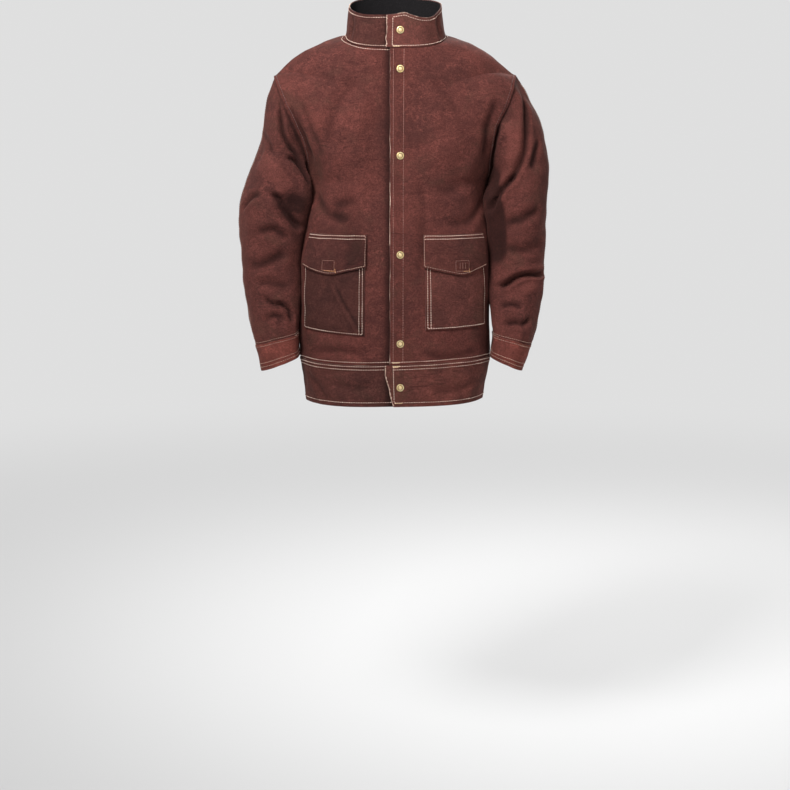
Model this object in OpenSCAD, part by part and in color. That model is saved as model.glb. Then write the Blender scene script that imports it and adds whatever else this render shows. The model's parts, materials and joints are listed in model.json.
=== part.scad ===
// Leather welding jacket with a stand collar, a snap front, two flap pockets,
// long sleeves with cuffs and a deep hem band. Millimetres, +Z up, the wearer
// faces -Y and the wearer's left is +X. The origin is the centre of the neck,
// level with the inner ends of the shoulder seams.

/* [Leather] */
// Thickness of one layer of leather
leather = 1.8; // [1.4:0.1:2.0]
// Thickness of a facing or lining layer
facing = 1; // [0.8:0.1:1.1]

/* [Body] */
// Drop from the neck's sides to the bottom of the hem band
body_drop = 703; // [690:1:720]
// Height of the hem band
band_h = 76; // [68:1:84]
// Height of the underarm above the hem
underarm_h = 431; // [425:1:437]
// Height of the shoulder's outer end above the hem
shoulder_h = 631; // [627:1:635]
// Half width at the bottom of the hem band
hem_half_w = 168; // [162:1:172]
// Half width at the waist seam
waist_half_w = 180; // [174:1:182]
// Half width at the belly
belly_half_w = 184; // [178:1:185]
// Half width at the underarm
chest_half_w = 178; // [175:1:179]
// Half width at the outer end of the shoulder seam
shoulder_half_w = 234; // [230:1:238]
// Distance of the front edge before the origin, at the hem
front_depth = 138; // [130:1:142]
// Angle by which the straight front edge leans back towards the neck
front_lean = 4.7; // [4:0.1:5.2]
// Half depth of the armhole, front to back
armhole_half_d = 62; // [58:1:66]

/* [Collar] */
// Half width of the neck opening at the collar seam
neck_half_w = 95; // [90:1:98]
// Height of the collar seam at the front, below the neck's sides
neck_drop = 21; // [18:1:24]
// Height of the collar at the front
collar_h = 53; // [46:1:58]

/* [Front closure] */
// Distance across the body from the centre to the snaps
snap_x = 10; // [8:0.5:11]
// Distance of the placket's free edge beyond the centre
placket_edge = 9.5; // [8.5:0.5:12]
// Place of the line that the overlap folds back along
fold_x = 26; // [25:0.5:28]
// Place of the edge of the under-lap, below the placket
underlap_x = 22; // [19:0.5:23]
// Diameter of a snap cap
cap_d = 15; // [13:0.5:15.5]

/* [Pockets] */
// Height of a pocket's lower edge above the hem
pocket_bottom_h = 147; // [135:1:155]
// Height of a flap's sewn upper edge above the hem
flap_top_h = 332; // [320:1:340]
// Height of a flap at its sides
flap_side_h = 63; // [55:1:66]
// Height of a flap at its middle
flap_mid_h = 80; // [72:1:84]

/* [Hidden] */

// Clearance between neighbouring pieces, and between layers that lie together
gap = 0.4;
layer_gap = 0.1;
// Roundness of a level cross-section: handle length as a share of its half width
roundness = 0.62;

hem_z = -body_drop;
neck_front_z = -neck_drop;
neck_back_z = 9;
// Height above the hem of the centre line on the row that ends at the shoulder
front_centre_h = 600;
back_centre_h = 622;
// The collar's top edge: half width, height at the sides and behind, depth behind
collar_top_half_w = neck_half_w - 6;
collar_side_z = 57;
collar_back_z = 74;
collar_back_y = 60;

// Depths below the outer face of the overlap, measured square to the front edge
overlap_t = leather + layer_gap + facing;
socket_h = 2.7;
underlap_depth = overlap_t + socket_h + 0.4;
underlap_facing_depth = underlap_depth + leather + layer_gap;
post_depth = underlap_facing_depth + facing;
snap_heights = [43, 126, 294, 480, 642, body_drop + 11]; // the last one is on the collar

// Half width of the body by height above the hem
SIDE = [[0, hem_half_w], [band_h, waist_half_w], [250, belly_half_w], [underarm_h, chest_half_w]];
// Depth of the back's centre line behind the origin by height above the hem
BACK = [[0, 108], [band_h, 112], [300, 112], [underarm_h, 121], [560, 119], [650, 94],
        [body_drop + neck_back_z, 62]];

// A panel's rows are numbered: 0 at the waist seam, 1 at the underarm, 2 at the
// shoulder's outer end, 3 at the collar seam. Each is a cubic from the centre
// to the panel's edge. Handle at the centre, by row:
FRONT_START = [[1, 94], [1.5, 80], [2, 85], [2.5, 62], [3, 38]];
BACK_START = [[1, 110], [1.5, 105], [2, 105], [2.5, 80], [3, 52]];
// Handle at the edge, by row
FRONT_END = [[1, [0, 64, 0]], [1.5, [58, 38, 0]], [2, [60, 45, -20]], [2.5, [25, 50, 0]],
             [3, [0, 42, 14]]];
BACK_END = [[1, [0, -75, 0]], [1.5, [58, -42, 0]], [2, [60, -45, -38]], [2.5, [25, -50, -20]],
            [3, [0, -36, -12]]];
// Height that the shoulder seam bows above a straight line
shoulder_bow = 13;

// The sleeve's rings, from the armhole to the cuff's end: ring number, then the
// inner side's [x, height above the hem], the outer side's, the middle's y and
// the half depth
SLEEVE = [
    [0, [chest_half_w, underarm_h, shoulder_half_w, shoulder_h, 0, armhole_half_d]],
    [1, [180.5, underarm_h - 6, 254, 582, 0, 66]],
    [2, [182.5, underarm_h - 13, 270, 526, 0, 69]],
    [3, [184, 408, 280, 480, 0, 71]],
    [4, [186, 392, 288, 428, 0, 71]],
    [5, [188, 365, 292, 380, 1, 70]],
    [6, [190, 325, 293, 330, 3, 67]],
    [7, [190, 277, 289, 272, 3, 63]],
    [8, [188, 235, 290, 228, -4, 60]],
    [9, [191, 187, 280, 170, -22, 54]],
    [10, [196, 143, 267, 118, -40, 48]],
    [11, [190, 99, 250, 69, -49, 45]]
];
cuff_ring = 10;
sleeve_wall = 2.2;

// --- curves -----------------------------------------------------------------

function lerp(a, b, t) = a + (b - a) * t;

function bezier(p, t) =
    let (s = 1 - t)
    p[0] * s * s * s + p[1] * 3 * s * s * t + p[2] * 3 * s * t * t + p[3] * t * t * t;

// Index of the table's interval that holds x
function interval(table, x, i = 0) =
    i >= len(table) - 2 || x < table[i + 1][0] ? i : interval(table, x, i + 1);

function slope_at(table, i) =
    let (a = max(i - 1, 0), b = min(i + 1, len(table) - 1))
    (table[b][1] - table[a][1]) / (table[b][0] - table[a][0]);

// Smooth value at x of a table of [x, value] pairs, where a value may be a vector
function spline(table, x) =
    let (i = interval(table, x),
         w = table[i + 1][0] - table[i][0],
         t = (x - table[i][0]) / w)
    table[i][1] * (2 * t * t * t - 3 * t * t + 1)
    + slope_at(table, i) * w * (t * t * t - 2 * t * t + t)
    + table[i + 1][1] * (3 * t * t - 2 * t * t * t)
    + slope_at(table, i + 1) * w * (t * t * t - t * t);

// --- the body's surface -----------------------------------------------------

function front_y(z) = (z - hem_z) * tan(front_lean) - front_depth;
function back_y(z) = spline(BACK, z - hem_z);

// Control points of a level row at height h: the centre, two handles, the side
function level_row(h, front) =
    let (z = hem_z + h, half = spline(SIDE, h))
    front
        ? [[fold_x, front_y(z), z], [lerp(fold_x, half, roundness), front_y(z), z],
           [half, front_y(z) * roundness, z], [half, 0, z]]
        : [[0, back_y(z), z], [half * roundness, back_y(z), z],
           [half, back_y(z) * roundness, z], [half, 0, z]];

// Half of the armhole from the underarm (0) to the shoulder (1), pointed below and
// round above: its shares of the height, from -1 to 1, and of the depth
function armhole_share(t) = [2 * sin(90 * t) - 1, sin(180 * pow(t, 0.85))];
function round_share(t) = [-cos(180 * t), sin(180 * t)];

// Edge of the panels above the underarm: the armhole, then the shoulder seam
function upper_edge(v, front) =
    v <= 2
        ? let (share = armhole_share(v - 1), up = (1 + share[0]) / 2)
          [lerp(chest_half_w, shoulder_half_w, up),
           (front ? -1 : 1) * armhole_half_d * share[1],
           hem_z + lerp(underarm_h, shoulder_h, up)]
        : let (t = v - 2)
          [lerp(shoulder_half_w, neck_half_w, t), 0,
           lerp(hem_z + shoulder_h, 0, t) + shoulder_bow * 4 * t * (1 - t)];

// Height of the centre line on an upper row
function upper_centre_z(v, front) =
    let (centre_h = front ? front_centre_h : back_centre_h)
    v <= 2
        ? hem_z + lerp(underarm_h, centre_h, v - 1)
        : lerp(hem_z + centre_h, front ? neck_front_z : neck_back_z, v - 2);

function upper_row(v, front) =
    let (z = upper_centre_z(v, front),
         centre = front ? [fold_x, front_y(z), z] : [0, back_y(z), z],
         edge = upper_edge(v, front))
    [centre, centre + [spline(front ? FRONT_START : BACK_START, v), 0, 0],
     edge - spline(front ? FRONT_END : BACK_END, v), edge];

function row(v, front) =
    v <= 1 ? level_row(lerp(band_h, underarm_h, v), front) : upper_row(v, front);

// The collar's rows, from its seam (0) to its top edge (1)
collar_front_reach = 36;
collar_back_reach = 50;
collar_front_end = [0, 40, 13];
collar_back_end = [0, -34, -11];
function collar_top_row(front) =
    let (z = front ? neck_front_z + collar_h : collar_back_z,
         centre = front ? [fold_x, front_y(z), z] : [0, collar_back_y, z],
         edge = [collar_top_half_w, 0, collar_side_z])
    [centre, centre + [front ? collar_front_reach : collar_back_reach, 0, 0],
     edge - (front ? collar_front_end : collar_back_end), edge];
function collar_row(w, front) = lerp(row(3, front), collar_top_row(front), w);

// --- grids and shells -------------------------------------------------------

// Points along one row of the body, from right to left as the wearer has them,
// with the surface seen from outside running to the right. inset shortens a
// side that meets another panel.
function left_half(p, n, inset = 0) =
    [for (i = [0:n]) bezier(p, lerp(0, 1 - inset, i / n)) + [gap * (1 - i / n), 0, 0]];
function flip_x(points) = [for (i = [len(points) - 1:-1:0]) [-points[i][0], points[i][1], points[i][2]]];
// The right half starts under the placket, where it lies deeper by the overlap
function under_shift(t) = underlap_depth / cos(front_lean) * pow(1 - t, 3);
function right_half(p, n, inset = 0) =
    let (start = [-underlap_x, p[0][1] + under_shift(0), p[0][2]],
         flat = [for (i = [0:2]) lerp(start, [fold_x, start[1], start[2]], i / 3)],
         curved = [for (i = [0:n])
             let (t = lerp(0, 1 - inset, i / n))
             bezier(p, t) + [0, under_shift(t), 0]])
    flip_x(concat(flat, curved));
function back_span(p, n, inset = 0) =
    let (half = [for (i = [0:n]) bezier(p, lerp(0, 1 - inset, i / n))],
         other = flip_x(half))
    concat([for (i = [n:-1:1]) half[i]], [half[0]], [for (i = [n - 1:-1:0]) other[i]]);

function unit(v) = v / norm(v);
function normal(grid, j, i) =
    let (rows = len(grid), cols = len(grid[0]),
         across = grid[j][min(i + 1, cols - 1)] - grid[j][max(i - 1, 0)],
         up = grid[min(j + 1, rows - 1)][i] - grid[max(j - 1, 0)][i])
    unit(cross(across, up));
// The same grid moved outwards by d, or by rise[j] on row j
function moved(grid, d) =
    [for (j = [0:len(grid) - 1]) [for (i = [0:len(grid[0]) - 1])
        grid[j][i] + normal(grid, j, i) * (is_list(d) ? d[j] : d)]];

function quad(a, b, c, d) = [[a, b, c], [a, c, d]];

// Closed sheet between an outer and an inner grid of the same size
module sheet(outer, inner) {
    rows = len(outer);
    cols = len(outer[0]);
    n = rows * cols;
    points = concat([for (r = outer) each r], [for (r = inner) each r]);
    function at(j, i) = j * cols + i;
    faces = concat(
        [for (j = [0:rows - 2], i = [0:cols - 2])
            each quad(at(j, i), at(j + 1, i), at(j + 1, i + 1), at(j, i + 1))],
        [for (j = [0:rows - 2], i = [0:cols - 2])
            each quad(n + at(j, i), n + at(j, i + 1), n + at(j + 1, i + 1), n + at(j + 1, i))],
        [for (i = [0:cols - 2])
            each quad(at(0, i), at(0, i + 1), n + at(0, i + 1), n + at(0, i))],
        [for (i = [0:cols - 2])
            each quad(at(rows - 1, i + 1), at(rows - 1, i), n + at(rows - 1, i), n + at(rows - 1, i + 1))],
        [for (j = [0:rows - 2])
            each quad(at(j + 1, 0), at(j, 0), n + at(j, 0), n + at(j + 1, 0))],
        [for (j = [0:rows - 2])
            each quad(at(j, cols - 1), at(j + 1, cols - 1), n + at(j + 1, cols - 1), n + at(j, cols - 1))]
    );
    polyhedron(points, faces);
}

// Sheet of thickness t whose outer face lies depth below the grid
module layer(grid, depth, t) {
    sheet(moved(grid, -depth), moved(grid, -depth - t));
}

// --- body panels ------------------------------------------------------------

PANEL_ROWS = concat([for (i = [0:8]) i / 8], [for (i = [1:9]) 1 + i / 9], [for (i = [1:6]) 2 + i / 6]);
back_steps = 11;
front_steps = 10;
// Share of a row that a panel stops short of the next one by; the shoulder seam turns more
function edge_inset(v) = v < 2 ? 0.002 : 0.005;
// A panel stops short of the hem band and of the collar
collar_inset = 0.005;
function inset_row(v) = v == 0 ? gap / (underarm_h - band_h) : v == 3 ? 3 - collar_inset : v;

module back_panel() {
    color("#5a352f")
    layer([for (v = PANEL_ROWS) back_span(row(inset_row(v), false), back_steps, edge_inset(v))],
          0, leather);
}
module left_front_panel() {
    color("#63382f")
    layer([for (v = PANEL_ROWS) left_half(row(inset_row(v), true), front_steps, edge_inset(v))],
          0, leather);
}
module right_front_panel() {
    color("#63382f")
    difference() {
        layer([for (v = PANEL_ROWS) right_half(row(inset_row(v), true), front_steps, edge_inset(v))],
              0, leather);
        snap_holes();
    }
}

// --- pieces in the plane of the front edge ----------------------------------

// Local X is across, Y is up along the front edge and Z is outwards
module front_plane() {
    translate([0, front_y(hem_z), hem_z]) rotate([90 - front_lean, 0, 0]) children();
}
function along(h) = h / cos(front_lean);

// Plate with corners [x, height above the hem], depth below the overlap's face
module front_plate(corners, depth, t) {
    front_plane()
    translate([0, 0, -depth - t])
    linear_extrude(t) polygon([for (c = corners) [c[0], along(c[1])]]);
}
module at_snaps(depth) {
    front_plane()
    for (h = snap_heights) translate([snap_x, along(h), -depth]) children();
}
shank_r = 1.3;
hole_r = shank_r + 0.05;
hole_margin = 2;
module snap_holes() {
    at_snaps(post_depth + hole_margin) cylinder(r = hole_r, h = post_depth + 2 * hole_margin, $fn = 24);
}
module drilled_plate(corners, depth, t) {
    difference() {
        front_plate(corners, depth, t);
        snap_holes();
    }
}

neck_h = body_drop + neck_front_z;
// The collar's end and the hem band's reach past the placket; the band's is cut
// on a slant from slant_start below its seam
collar_edge = placket_edge + 6.5;
band_edge_top = placket_edge + 9.5;
band_edge_bottom = placket_edge - 6.5;
slant_start = 16;
fold_edge = fold_x - gap;
function strip(x0, x1, h0, h1) = [[x0, h0], [x1, h0], [x1, h1], [x0, h1]];
placket_outline = strip(-placket_edge, fold_edge, band_h + gap, neck_h - gap);
collar_end_outline = strip(-collar_edge, fold_edge, neck_h + gap, neck_h + collar_h);
band_end_outline = [[-band_edge_bottom, 0], [fold_edge, 0], [fold_edge, band_h - gap],
                    [-band_edge_top, band_h - gap], [-band_edge_top, band_h - slant_start]];

module placket() {
    color("#6a3d36") drilled_plate(placket_outline, 0, leather);
}
module placket_facing() {
    color("#4a2c28") drilled_plate(placket_outline, leather + layer_gap, facing);
}
module collar_end() {
    color("#724740") drilled_plate(collar_end_outline, 0, leather);
}
module collar_end_lining() {
    color("#241e1e") drilled_plate(collar_end_outline, leather + layer_gap, facing);
}
module hem_band_end() {
    color("#50322d") drilled_plate(band_end_outline, 0, leather);
}
module hem_band_end_facing() {
    color("#4a2c28") drilled_plate(band_end_outline, leather + layer_gap, facing);
}
// How much further than the placket the under-lap's facing reaches
facing_reach = 4;
module right_front_facing() {
    color("#4a2c28")
    drilled_plate(strip(-placket_edge - facing_reach, underlap_x, band_h + gap, neck_h - gap),
                  underlap_facing_depth, facing);
}

// Domed cap: a raised rim, a groove inside it and a low boss in the middle, with
// the shank that goes through the overlap
rim_w = 2.7;
groove_w = 1.4;
groove_h = 1.1;
rim_h = 1.6;
boss_h = 1.8;
module snap_caps() {
    r = cap_d / 2;
    groove_r = r - rim_w;
    boss_r = groove_r - groove_w - 0.8;
    color("#cdb391")
    at_snaps(0) {
        rotate_extrude($fn = 40)
        polygon([[0, 0], [r, 0], [r, rim_h - 0.9], [r - 0.7, rim_h - 0.2], [groove_r + 0.6, rim_h],
                 [groove_r, groove_h], [groove_r - groove_w, groove_h], [boss_r, rim_h], [0, boss_h]]);
        translate([0, 0, -overlap_t]) cylinder(r = shank_r, h = overlap_t + layer_gap, $fn = 24);
    }
}
// Cup on the overlap's inner side that the stud clicks into
socket_r = 5.5;
cup_r = 3.6;
cup_floor = 0.5;
module snap_sockets() {
    color("#a8905f")
    at_snaps(overlap_t + socket_h)
    difference() {
        cylinder(r = socket_r, h = socket_h, $fn = 40);
        translate([0, 0, -1]) cylinder(r = cup_r, h = 1 + socket_h - cup_floor, $fn = 32);
    }
}
// Stud on the under-lap's outer side: a foot, a neck with a rounded bead, and the
// shank behind. It stands clear of the leather by stud_clear.
stud_clear = 0.05;
foot_r = 3;
foot_h = 0.4;
stud_r = 1.9;
stud_h = 2.3;
bead_r = 2.1;
bead_h = 0.6;
module snap_studs() {
    shank = post_depth - underlap_depth + stud_clear;
    color("#a8905f")
    at_snaps(underlap_depth - stud_clear) {
        cylinder(r = foot_r, h = foot_h, $fn = 32);
        cylinder(r = stud_r, h = stud_h, $fn = 32);
        translate([0, 0, stud_h - 1.5 * bead_h]) cylinder(r = bead_r, h = bead_h, $fn = 32);
        translate([0, 0, -shank]) cylinder(r = shank_r, h = shank + layer_gap, $fn = 24);
    }
}
// Flat washer behind the under-lap that the stud is riveted to
washer_t = 0.8;
module snap_posts() {
    color("#a8905f")
    at_snaps(post_depth + washer_t)
    cylinder(r = socket_r, h = washer_t, $fn = 40);
}

// --- collar and hem band ----------------------------------------------------

function ring_rows(rows, n, ends) =
    [for (r = rows) concat(left_half(r[0], n), tail(back_span(r[1], n)), tail(right_half(r[0], n)))];
function tail(list) = [for (i = [1:len(list) - 1]) list[i]];

COLLAR_STEPS = [gap / collar_h, 0.35, 0.7, 1];
collar_grid = ring_rows([for (w = COLLAR_STEPS) [collar_row(w, true), collar_row(w, false)]], 8);
BAND_STEPS = [0, 0.25, 0.5, 0.75, 1];
band_grid = ring_rows(
    [for (s = BAND_STEPS) let (h = s * (band_h - gap)) [level_row(h, true), level_row(h, false)]], 9);

module collar() {
    color("#724740")
    difference() {
        layer(collar_grid, 0, leather);
        snap_holes();
    }
}
module collar_lining() {
    color("#241e1e")
    difference() {
        layer(collar_grid, leather + layer_gap, facing);
        snap_holes();
    }
}
module hem_band() {
    color("#50322d")
    difference() {
        layer(band_grid, 0, leather);
        snap_holes();
    }
}
module hem_band_facing() {
    color("#4a2c28")
    difference() {
        layer(band_grid, leather + layer_gap, facing);
        snap_holes();
    }
}

// --- pockets ----------------------------------------------------------------

// Place of a pocket along a level row, as the cubic's own share
pocket_from = 0.11;
pocket_to = 0.7;
pocket_top_h = flap_top_h - 9;
pocket_cols = 12;
pocket_rows = 8;
// The patch of hook-and-loop tape: share of the row it takes, height, middle's height
tape_w_share = 0.1;
tape_h = 19;
tape_mid_h = flap_top_h - 60;
// Heights of the layers above the panel
pocket_rise = 0.2;
tape_rise = pocket_rise + leather + layer_gap;
tape_t = 1.1;
flap_rise = tape_rise + 2 * tape_t + 3 * layer_gap;

// Point of a front at share t of the level row at height h. The right front's
// points are those of its mirror image.
function front_point(h, t, right) =
    bezier(level_row(h, true), t) + [0, right ? under_shift(t) : 0, 0];
function front_patch(right, u0, u1, n, heights) =
    [for (h = heights) [for (i = [0:n]) front_point(h, lerp(u0, u1, i / n), right)]];
function steps(a, b, n) = [for (i = [0:n]) lerp(a, b, i / n)];

flap_margin = 0.01;
flap_cols = 12;
flap_rows = 6;
// Drop of the flap's lower edge at column i, deepest at the middle
function flap_drop(i) = lerp(flap_mid_h, flap_side_h, abs(2 * i / flap_cols - 1));
function flap_grid(right) = [for (j = [0:flap_rows]) [for (i = [0:flap_cols])
    front_point(flap_top_h - flap_drop(i) * (1 - j / flap_rows),
                lerp(pocket_from - flap_margin, pocket_to + flap_margin, i / flap_cols), right)]];
// The flap leaves the panel at its seam and soon rises over the pocket and the tapes
flap_steepness = 6;
flap_rises = [for (j = [0:flap_rows])
    lerp(flap_rise, pocket_rise + gap, pow(j / flap_rows, flap_steepness))];

module pocket_shape(right) {
    grid = front_patch(right, pocket_from, pocket_to, pocket_cols,
                       steps(pocket_bottom_h, pocket_top_h, pocket_rows));
    layer(grid, -pocket_rise - leather, leather);
}
module tape_shape(right, rise) {
    middle = (pocket_from + pocket_to) / 2;
    grid = front_patch(right, middle - tape_w_share / 2, middle + tape_w_share / 2, 3,
                       steps(tape_mid_h - tape_h / 2, tape_mid_h + tape_h / 2, 2));
    layer(grid, -rise - tape_t, tape_t);
}
module flap_shape(right) {
    sheet(moved(flap_grid(right), [for (r = flap_rises) r + leather]),
          moved(flap_grid(right), flap_rises));
}
module left_pocket() {
    color("#5a3630") pocket_shape(false);
}
module right_pocket() {
    color("#4c302b") mirror([1, 0, 0]) pocket_shape(true);
}
module left_pocket_loop_tape() {
    color("#2a2220") tape_shape(false, tape_rise);
}
module right_pocket_loop_tape() {
    color("#2a2220") mirror([1, 0, 0]) tape_shape(true, tape_rise);
}
module left_pocket_flap() {
    color("#533530") flap_shape(false);
}
module left_flap_hook_tape() {
    color("#2a2220") tape_shape(false, tape_rise + tape_t + layer_gap);
}
module right_pocket_flap() {
    color("#533530") mirror([1, 0, 0]) flap_shape(true);
}
module right_flap_hook_tape() {
    color("#2a2220") mirror([1, 0, 0]) tape_shape(true, tape_rise + tape_t + layer_gap);
}

// --- sleeves ----------------------------------------------------------------

// Ring of a sleeve: half of it from the inner side to the outer side, at the
// front or at the back, moved in by inset; the halves stop short of each other
seam_share = 0.0015;
function sleeve_arc(k, front, inset, n) =
    let (r = spline(SLEEVE, k),
         mid = [(r[0] + r[2]) / 2, r[4], hem_z + (r[1] + r[3]) / 2],
         half = [(r[2] - r[0]) / 2, 0, (r[3] - r[1]) / 2],
         shrink = 1 - inset / norm(half),
         depth = r[5] - inset)
    [for (i = [0:n])
        let (t = lerp(seam_share, 1 - seam_share, i / n),
             share = lerp(armhole_share(t), round_share(t), min(k / 4, 1)))
        mid + half * shrink * share[0] + [0, (front ? -1 : 1) * depth * share[1], 0]];

// Outwards offset of the first ring from the armhole, so the sleeve swings free
armhole_tilt = atan2(shoulder_half_w - chest_half_w, shoulder_h - underarm_h);
armhole_out = [cos(armhole_tilt), 0, -sin(armhole_tilt)];
armhole_gap = 1.2;

function reversed(list) = [for (i = [len(list) - 1:-1:0]) list[i]];
function sleeve_grid(front, inset) =
    [for (k = SLEEVE_RINGS) [for (p = sleeve_arc(k, front, inset, 12))
        p + (k == 0 ? armhole_out * armhole_gap : [0, 0, 0])]];
module sleeve_panel(front) {
    outer = sleeve_grid(front, 0);
    inner = sleeve_grid(front, sleeve_wall);
    // Seen from outside, a front half runs from its inner side to its outer side
    // as the rings go down, and a back half the other way
    sheet(front ? reversed(outer) : [for (r = reversed(outer)) reversed(r)],
          front ? reversed(inner) : [for (r = reversed(inner)) reversed(r)]);
}
SLEEVE_RINGS = concat([0, 0.5], steps(1, cuff_ring - 0.02, 18));
CUFF_RINGS = [cuff_ring + 0.01, cuff_ring + 0.5, cuff_ring + 1];

// Closed band, one ring thick, made of rings that run all the way round
cuff_steps = 14;
module cuff_band(inset, t) {
    function loop(k, inset) =
        concat(sleeve_arc(k, true, inset, cuff_steps), reversed(sleeve_arc(k, false, inset, cuff_steps)));
    tube([for (k = reversed(CUFF_RINGS)) loop(k, inset)],
         [for (k = reversed(CUFF_RINGS)) loop(k, inset + t)]);
}
// Closed ring-shaped wall between two stacks of loops
module tube(outer, inner) {
    rows = len(outer);
    cols = len(outer[0]);
    n = rows * cols;
    points = concat([for (r = outer) each r], [for (r = inner) each r]);
    function at(j, i) = j * cols + i % cols;
    faces = concat(
        [for (j = [0:rows - 2], i = [0:cols - 1])
            each quad(at(j, i), at(j + 1, i), at(j + 1, i + 1), at(j, i + 1))],
        [for (j = [0:rows - 2], i = [0:cols - 1])
            each quad(n + at(j, i), n + at(j, i + 1), n + at(j + 1, i + 1), n + at(j + 1, i))],
        [for (i = [0:cols - 1])
            each quad(at(0, i), at(0, i + 1), n + at(0, i + 1), n + at(0, i))],
        [for (i = [0:cols - 1])
            each quad(at(rows - 1, i + 1), at(rows - 1, i), n + at(rows - 1, i), n + at(rows - 1, i + 1))]
    );
    polyhedron(points, faces);
}

module left_sleeve_front() {
    color("#5a3531") sleeve_panel(true);
}
module left_sleeve_back() {
    color("#54322e") sleeve_panel(false);
}
module left_cuff() {
    color("#6b4038") cuff_band(0, leather);
}
module left_cuff_facing() {
    color("#4a2c28") cuff_band(leather + layer_gap, facing);
}
module right_sleeve_front() {
    color("#5a3531") mirror([1, 0, 0]) sleeve_panel(true);
}
module right_sleeve_back() {
    color("#54322e") mirror([1, 0, 0]) sleeve_panel(false);
}
module right_cuff() {
    color("#6b4038") mirror([1, 0, 0]) cuff_band(0, leather);
}
module right_cuff_facing() {
    color("#4a2c28") mirror([1, 0, 0]) cuff_band(leather + layer_gap, facing);
}

back_panel();
left_front_panel();
right_front_panel();
right_front_facing();
collar();
collar_lining();
hem_band();
hem_band_facing();
left_pocket();
right_pocket();
left_pocket_loop_tape();
right_pocket_loop_tape();
snap_studs();
snap_posts();
placket();
placket_facing();
collar_end();
collar_end_lining();
hem_band_end();
hem_band_end_facing();
snap_caps();
snap_sockets();
left_pocket_flap();
left_flap_hook_tape();
right_pocket_flap();
right_flap_hook_tape();
left_sleeve_front();
left_sleeve_back();
left_cuff();
left_cuff_facing();
right_sleeve_front();
right_sleeve_back();
right_cuff();
right_cuff_facing();
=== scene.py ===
"""Leather welding jacket: suede hides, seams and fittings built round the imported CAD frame.

Metres, +Z up. The wearer faces -Y and the wearer's left is +X. The garment's curves are the CAD
model's own and are kept in its millimetres; every point is turned into metres once, when it is made.
"""
import json
import math

import bpy
import numpy as np
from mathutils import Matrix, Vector, noise

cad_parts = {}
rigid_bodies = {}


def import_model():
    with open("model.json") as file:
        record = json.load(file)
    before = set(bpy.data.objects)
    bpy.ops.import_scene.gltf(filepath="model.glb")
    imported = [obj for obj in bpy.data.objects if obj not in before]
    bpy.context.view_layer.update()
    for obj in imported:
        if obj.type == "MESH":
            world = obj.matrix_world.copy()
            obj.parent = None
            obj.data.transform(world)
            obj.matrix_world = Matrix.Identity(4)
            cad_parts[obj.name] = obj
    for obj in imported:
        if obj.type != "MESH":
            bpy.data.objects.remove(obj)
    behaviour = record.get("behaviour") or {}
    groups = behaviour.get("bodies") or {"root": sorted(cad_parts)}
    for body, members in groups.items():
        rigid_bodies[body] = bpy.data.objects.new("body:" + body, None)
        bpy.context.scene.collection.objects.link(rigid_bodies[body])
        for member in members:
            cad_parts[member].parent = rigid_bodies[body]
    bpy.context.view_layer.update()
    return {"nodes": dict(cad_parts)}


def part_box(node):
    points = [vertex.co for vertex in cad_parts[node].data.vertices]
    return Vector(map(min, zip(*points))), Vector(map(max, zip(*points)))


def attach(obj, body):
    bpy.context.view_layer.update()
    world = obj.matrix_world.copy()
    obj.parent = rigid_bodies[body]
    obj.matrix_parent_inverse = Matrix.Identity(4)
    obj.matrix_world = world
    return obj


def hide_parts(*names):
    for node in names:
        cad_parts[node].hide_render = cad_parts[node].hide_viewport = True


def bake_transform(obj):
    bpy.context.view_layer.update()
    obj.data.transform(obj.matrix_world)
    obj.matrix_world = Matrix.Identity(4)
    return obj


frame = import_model()

MM = 0.001

# --- sizes, in millimetres ---------------------------------------------------

HEM_Z = round(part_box("hem_band")[0].z / MM)
LEATHER = 1.8
FACING = 1.0
LAYER_GAP = 0.1
BAND_H = 76
UNDERARM_H = 431
TRUNK_H = UNDERARM_H - BAND_H
SHOULDER_H = 631
CHEST_HALF_W = 178
SHOULDER_HALF_W = 234
FRONT_DEPTH = 138
FRONT_LEAN = math.radians(4.7)
ARMHOLE_HALF_D = 62
NECK_HALF_W = 95
NECK_FRONT_Z = -21
NECK_BACK_Z = 9
COLLAR_H = 53
COLLAR_TOP_HALF_W = 89
COLLAR_SIDE_Z = 57
COLLAR_BACK_Y, COLLAR_BACK_Z = 60, 74
FRONT_CENTRE_H = 600
BACK_CENTRE_H = 622
SHOULDER_BOW = 13
ROUNDNESS = 0.62
PLACKET_EDGE = 9.5
COLLAR_EDGE = 16
BAND_EDGE_TOP = 19
BAND_EDGE_BOTTOM = 3
FOLD_X = 26
UNDERLAP_X = 22
UNDERLAP_DEPTH = 6.0
SLEEVE_WALL = 2.2

# Half width of the body, and depth of the back's centre line, by height above the hem
SIDE = [(0, 174), (76, 187), (250, 186), (431, 178)]
BACK = [(0, 108), (76, 112), (300, 112), (431, 121), (560, 119), (650, 94), (712, 62)]

# Rows: -1 hem, 0 waist seam, 1 underarm, 2 shoulder end, 3 collar seam, 4 collar top.
# Handles of each row's cubic above the underarm, at the centre and at the edge
FRONT_START = [(1, 94), (1.5, 80), (2, 85), (2.5, 62), (3, 38)]
BACK_START = [(1, 110), (1.5, 105), (2, 105), (2.5, 80), (3, 52)]
FRONT_END = [(1, (0, 64, 0)), (1.5, (58, 38, 0)), (2, (60, 45, -20)),
             (2.5, (25, 50, 0)), (3, (0, 42, 14))]
BACK_END = [(1, (0, -75, 0)), (1.5, (58, -42, 0)), (2, (60, -45, -38)),
            (2.5, (25, -50, -20)), (3, (0, -36, -12))]
# The same for the collar's top row: out from its middle, and from its side
COLLAR_FRONT_HANDLES = (36, 0, 0), (0, -40, -13)
COLLAR_BACK_HANDLES = (50, 0, 0), (0, 34, 11)

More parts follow.
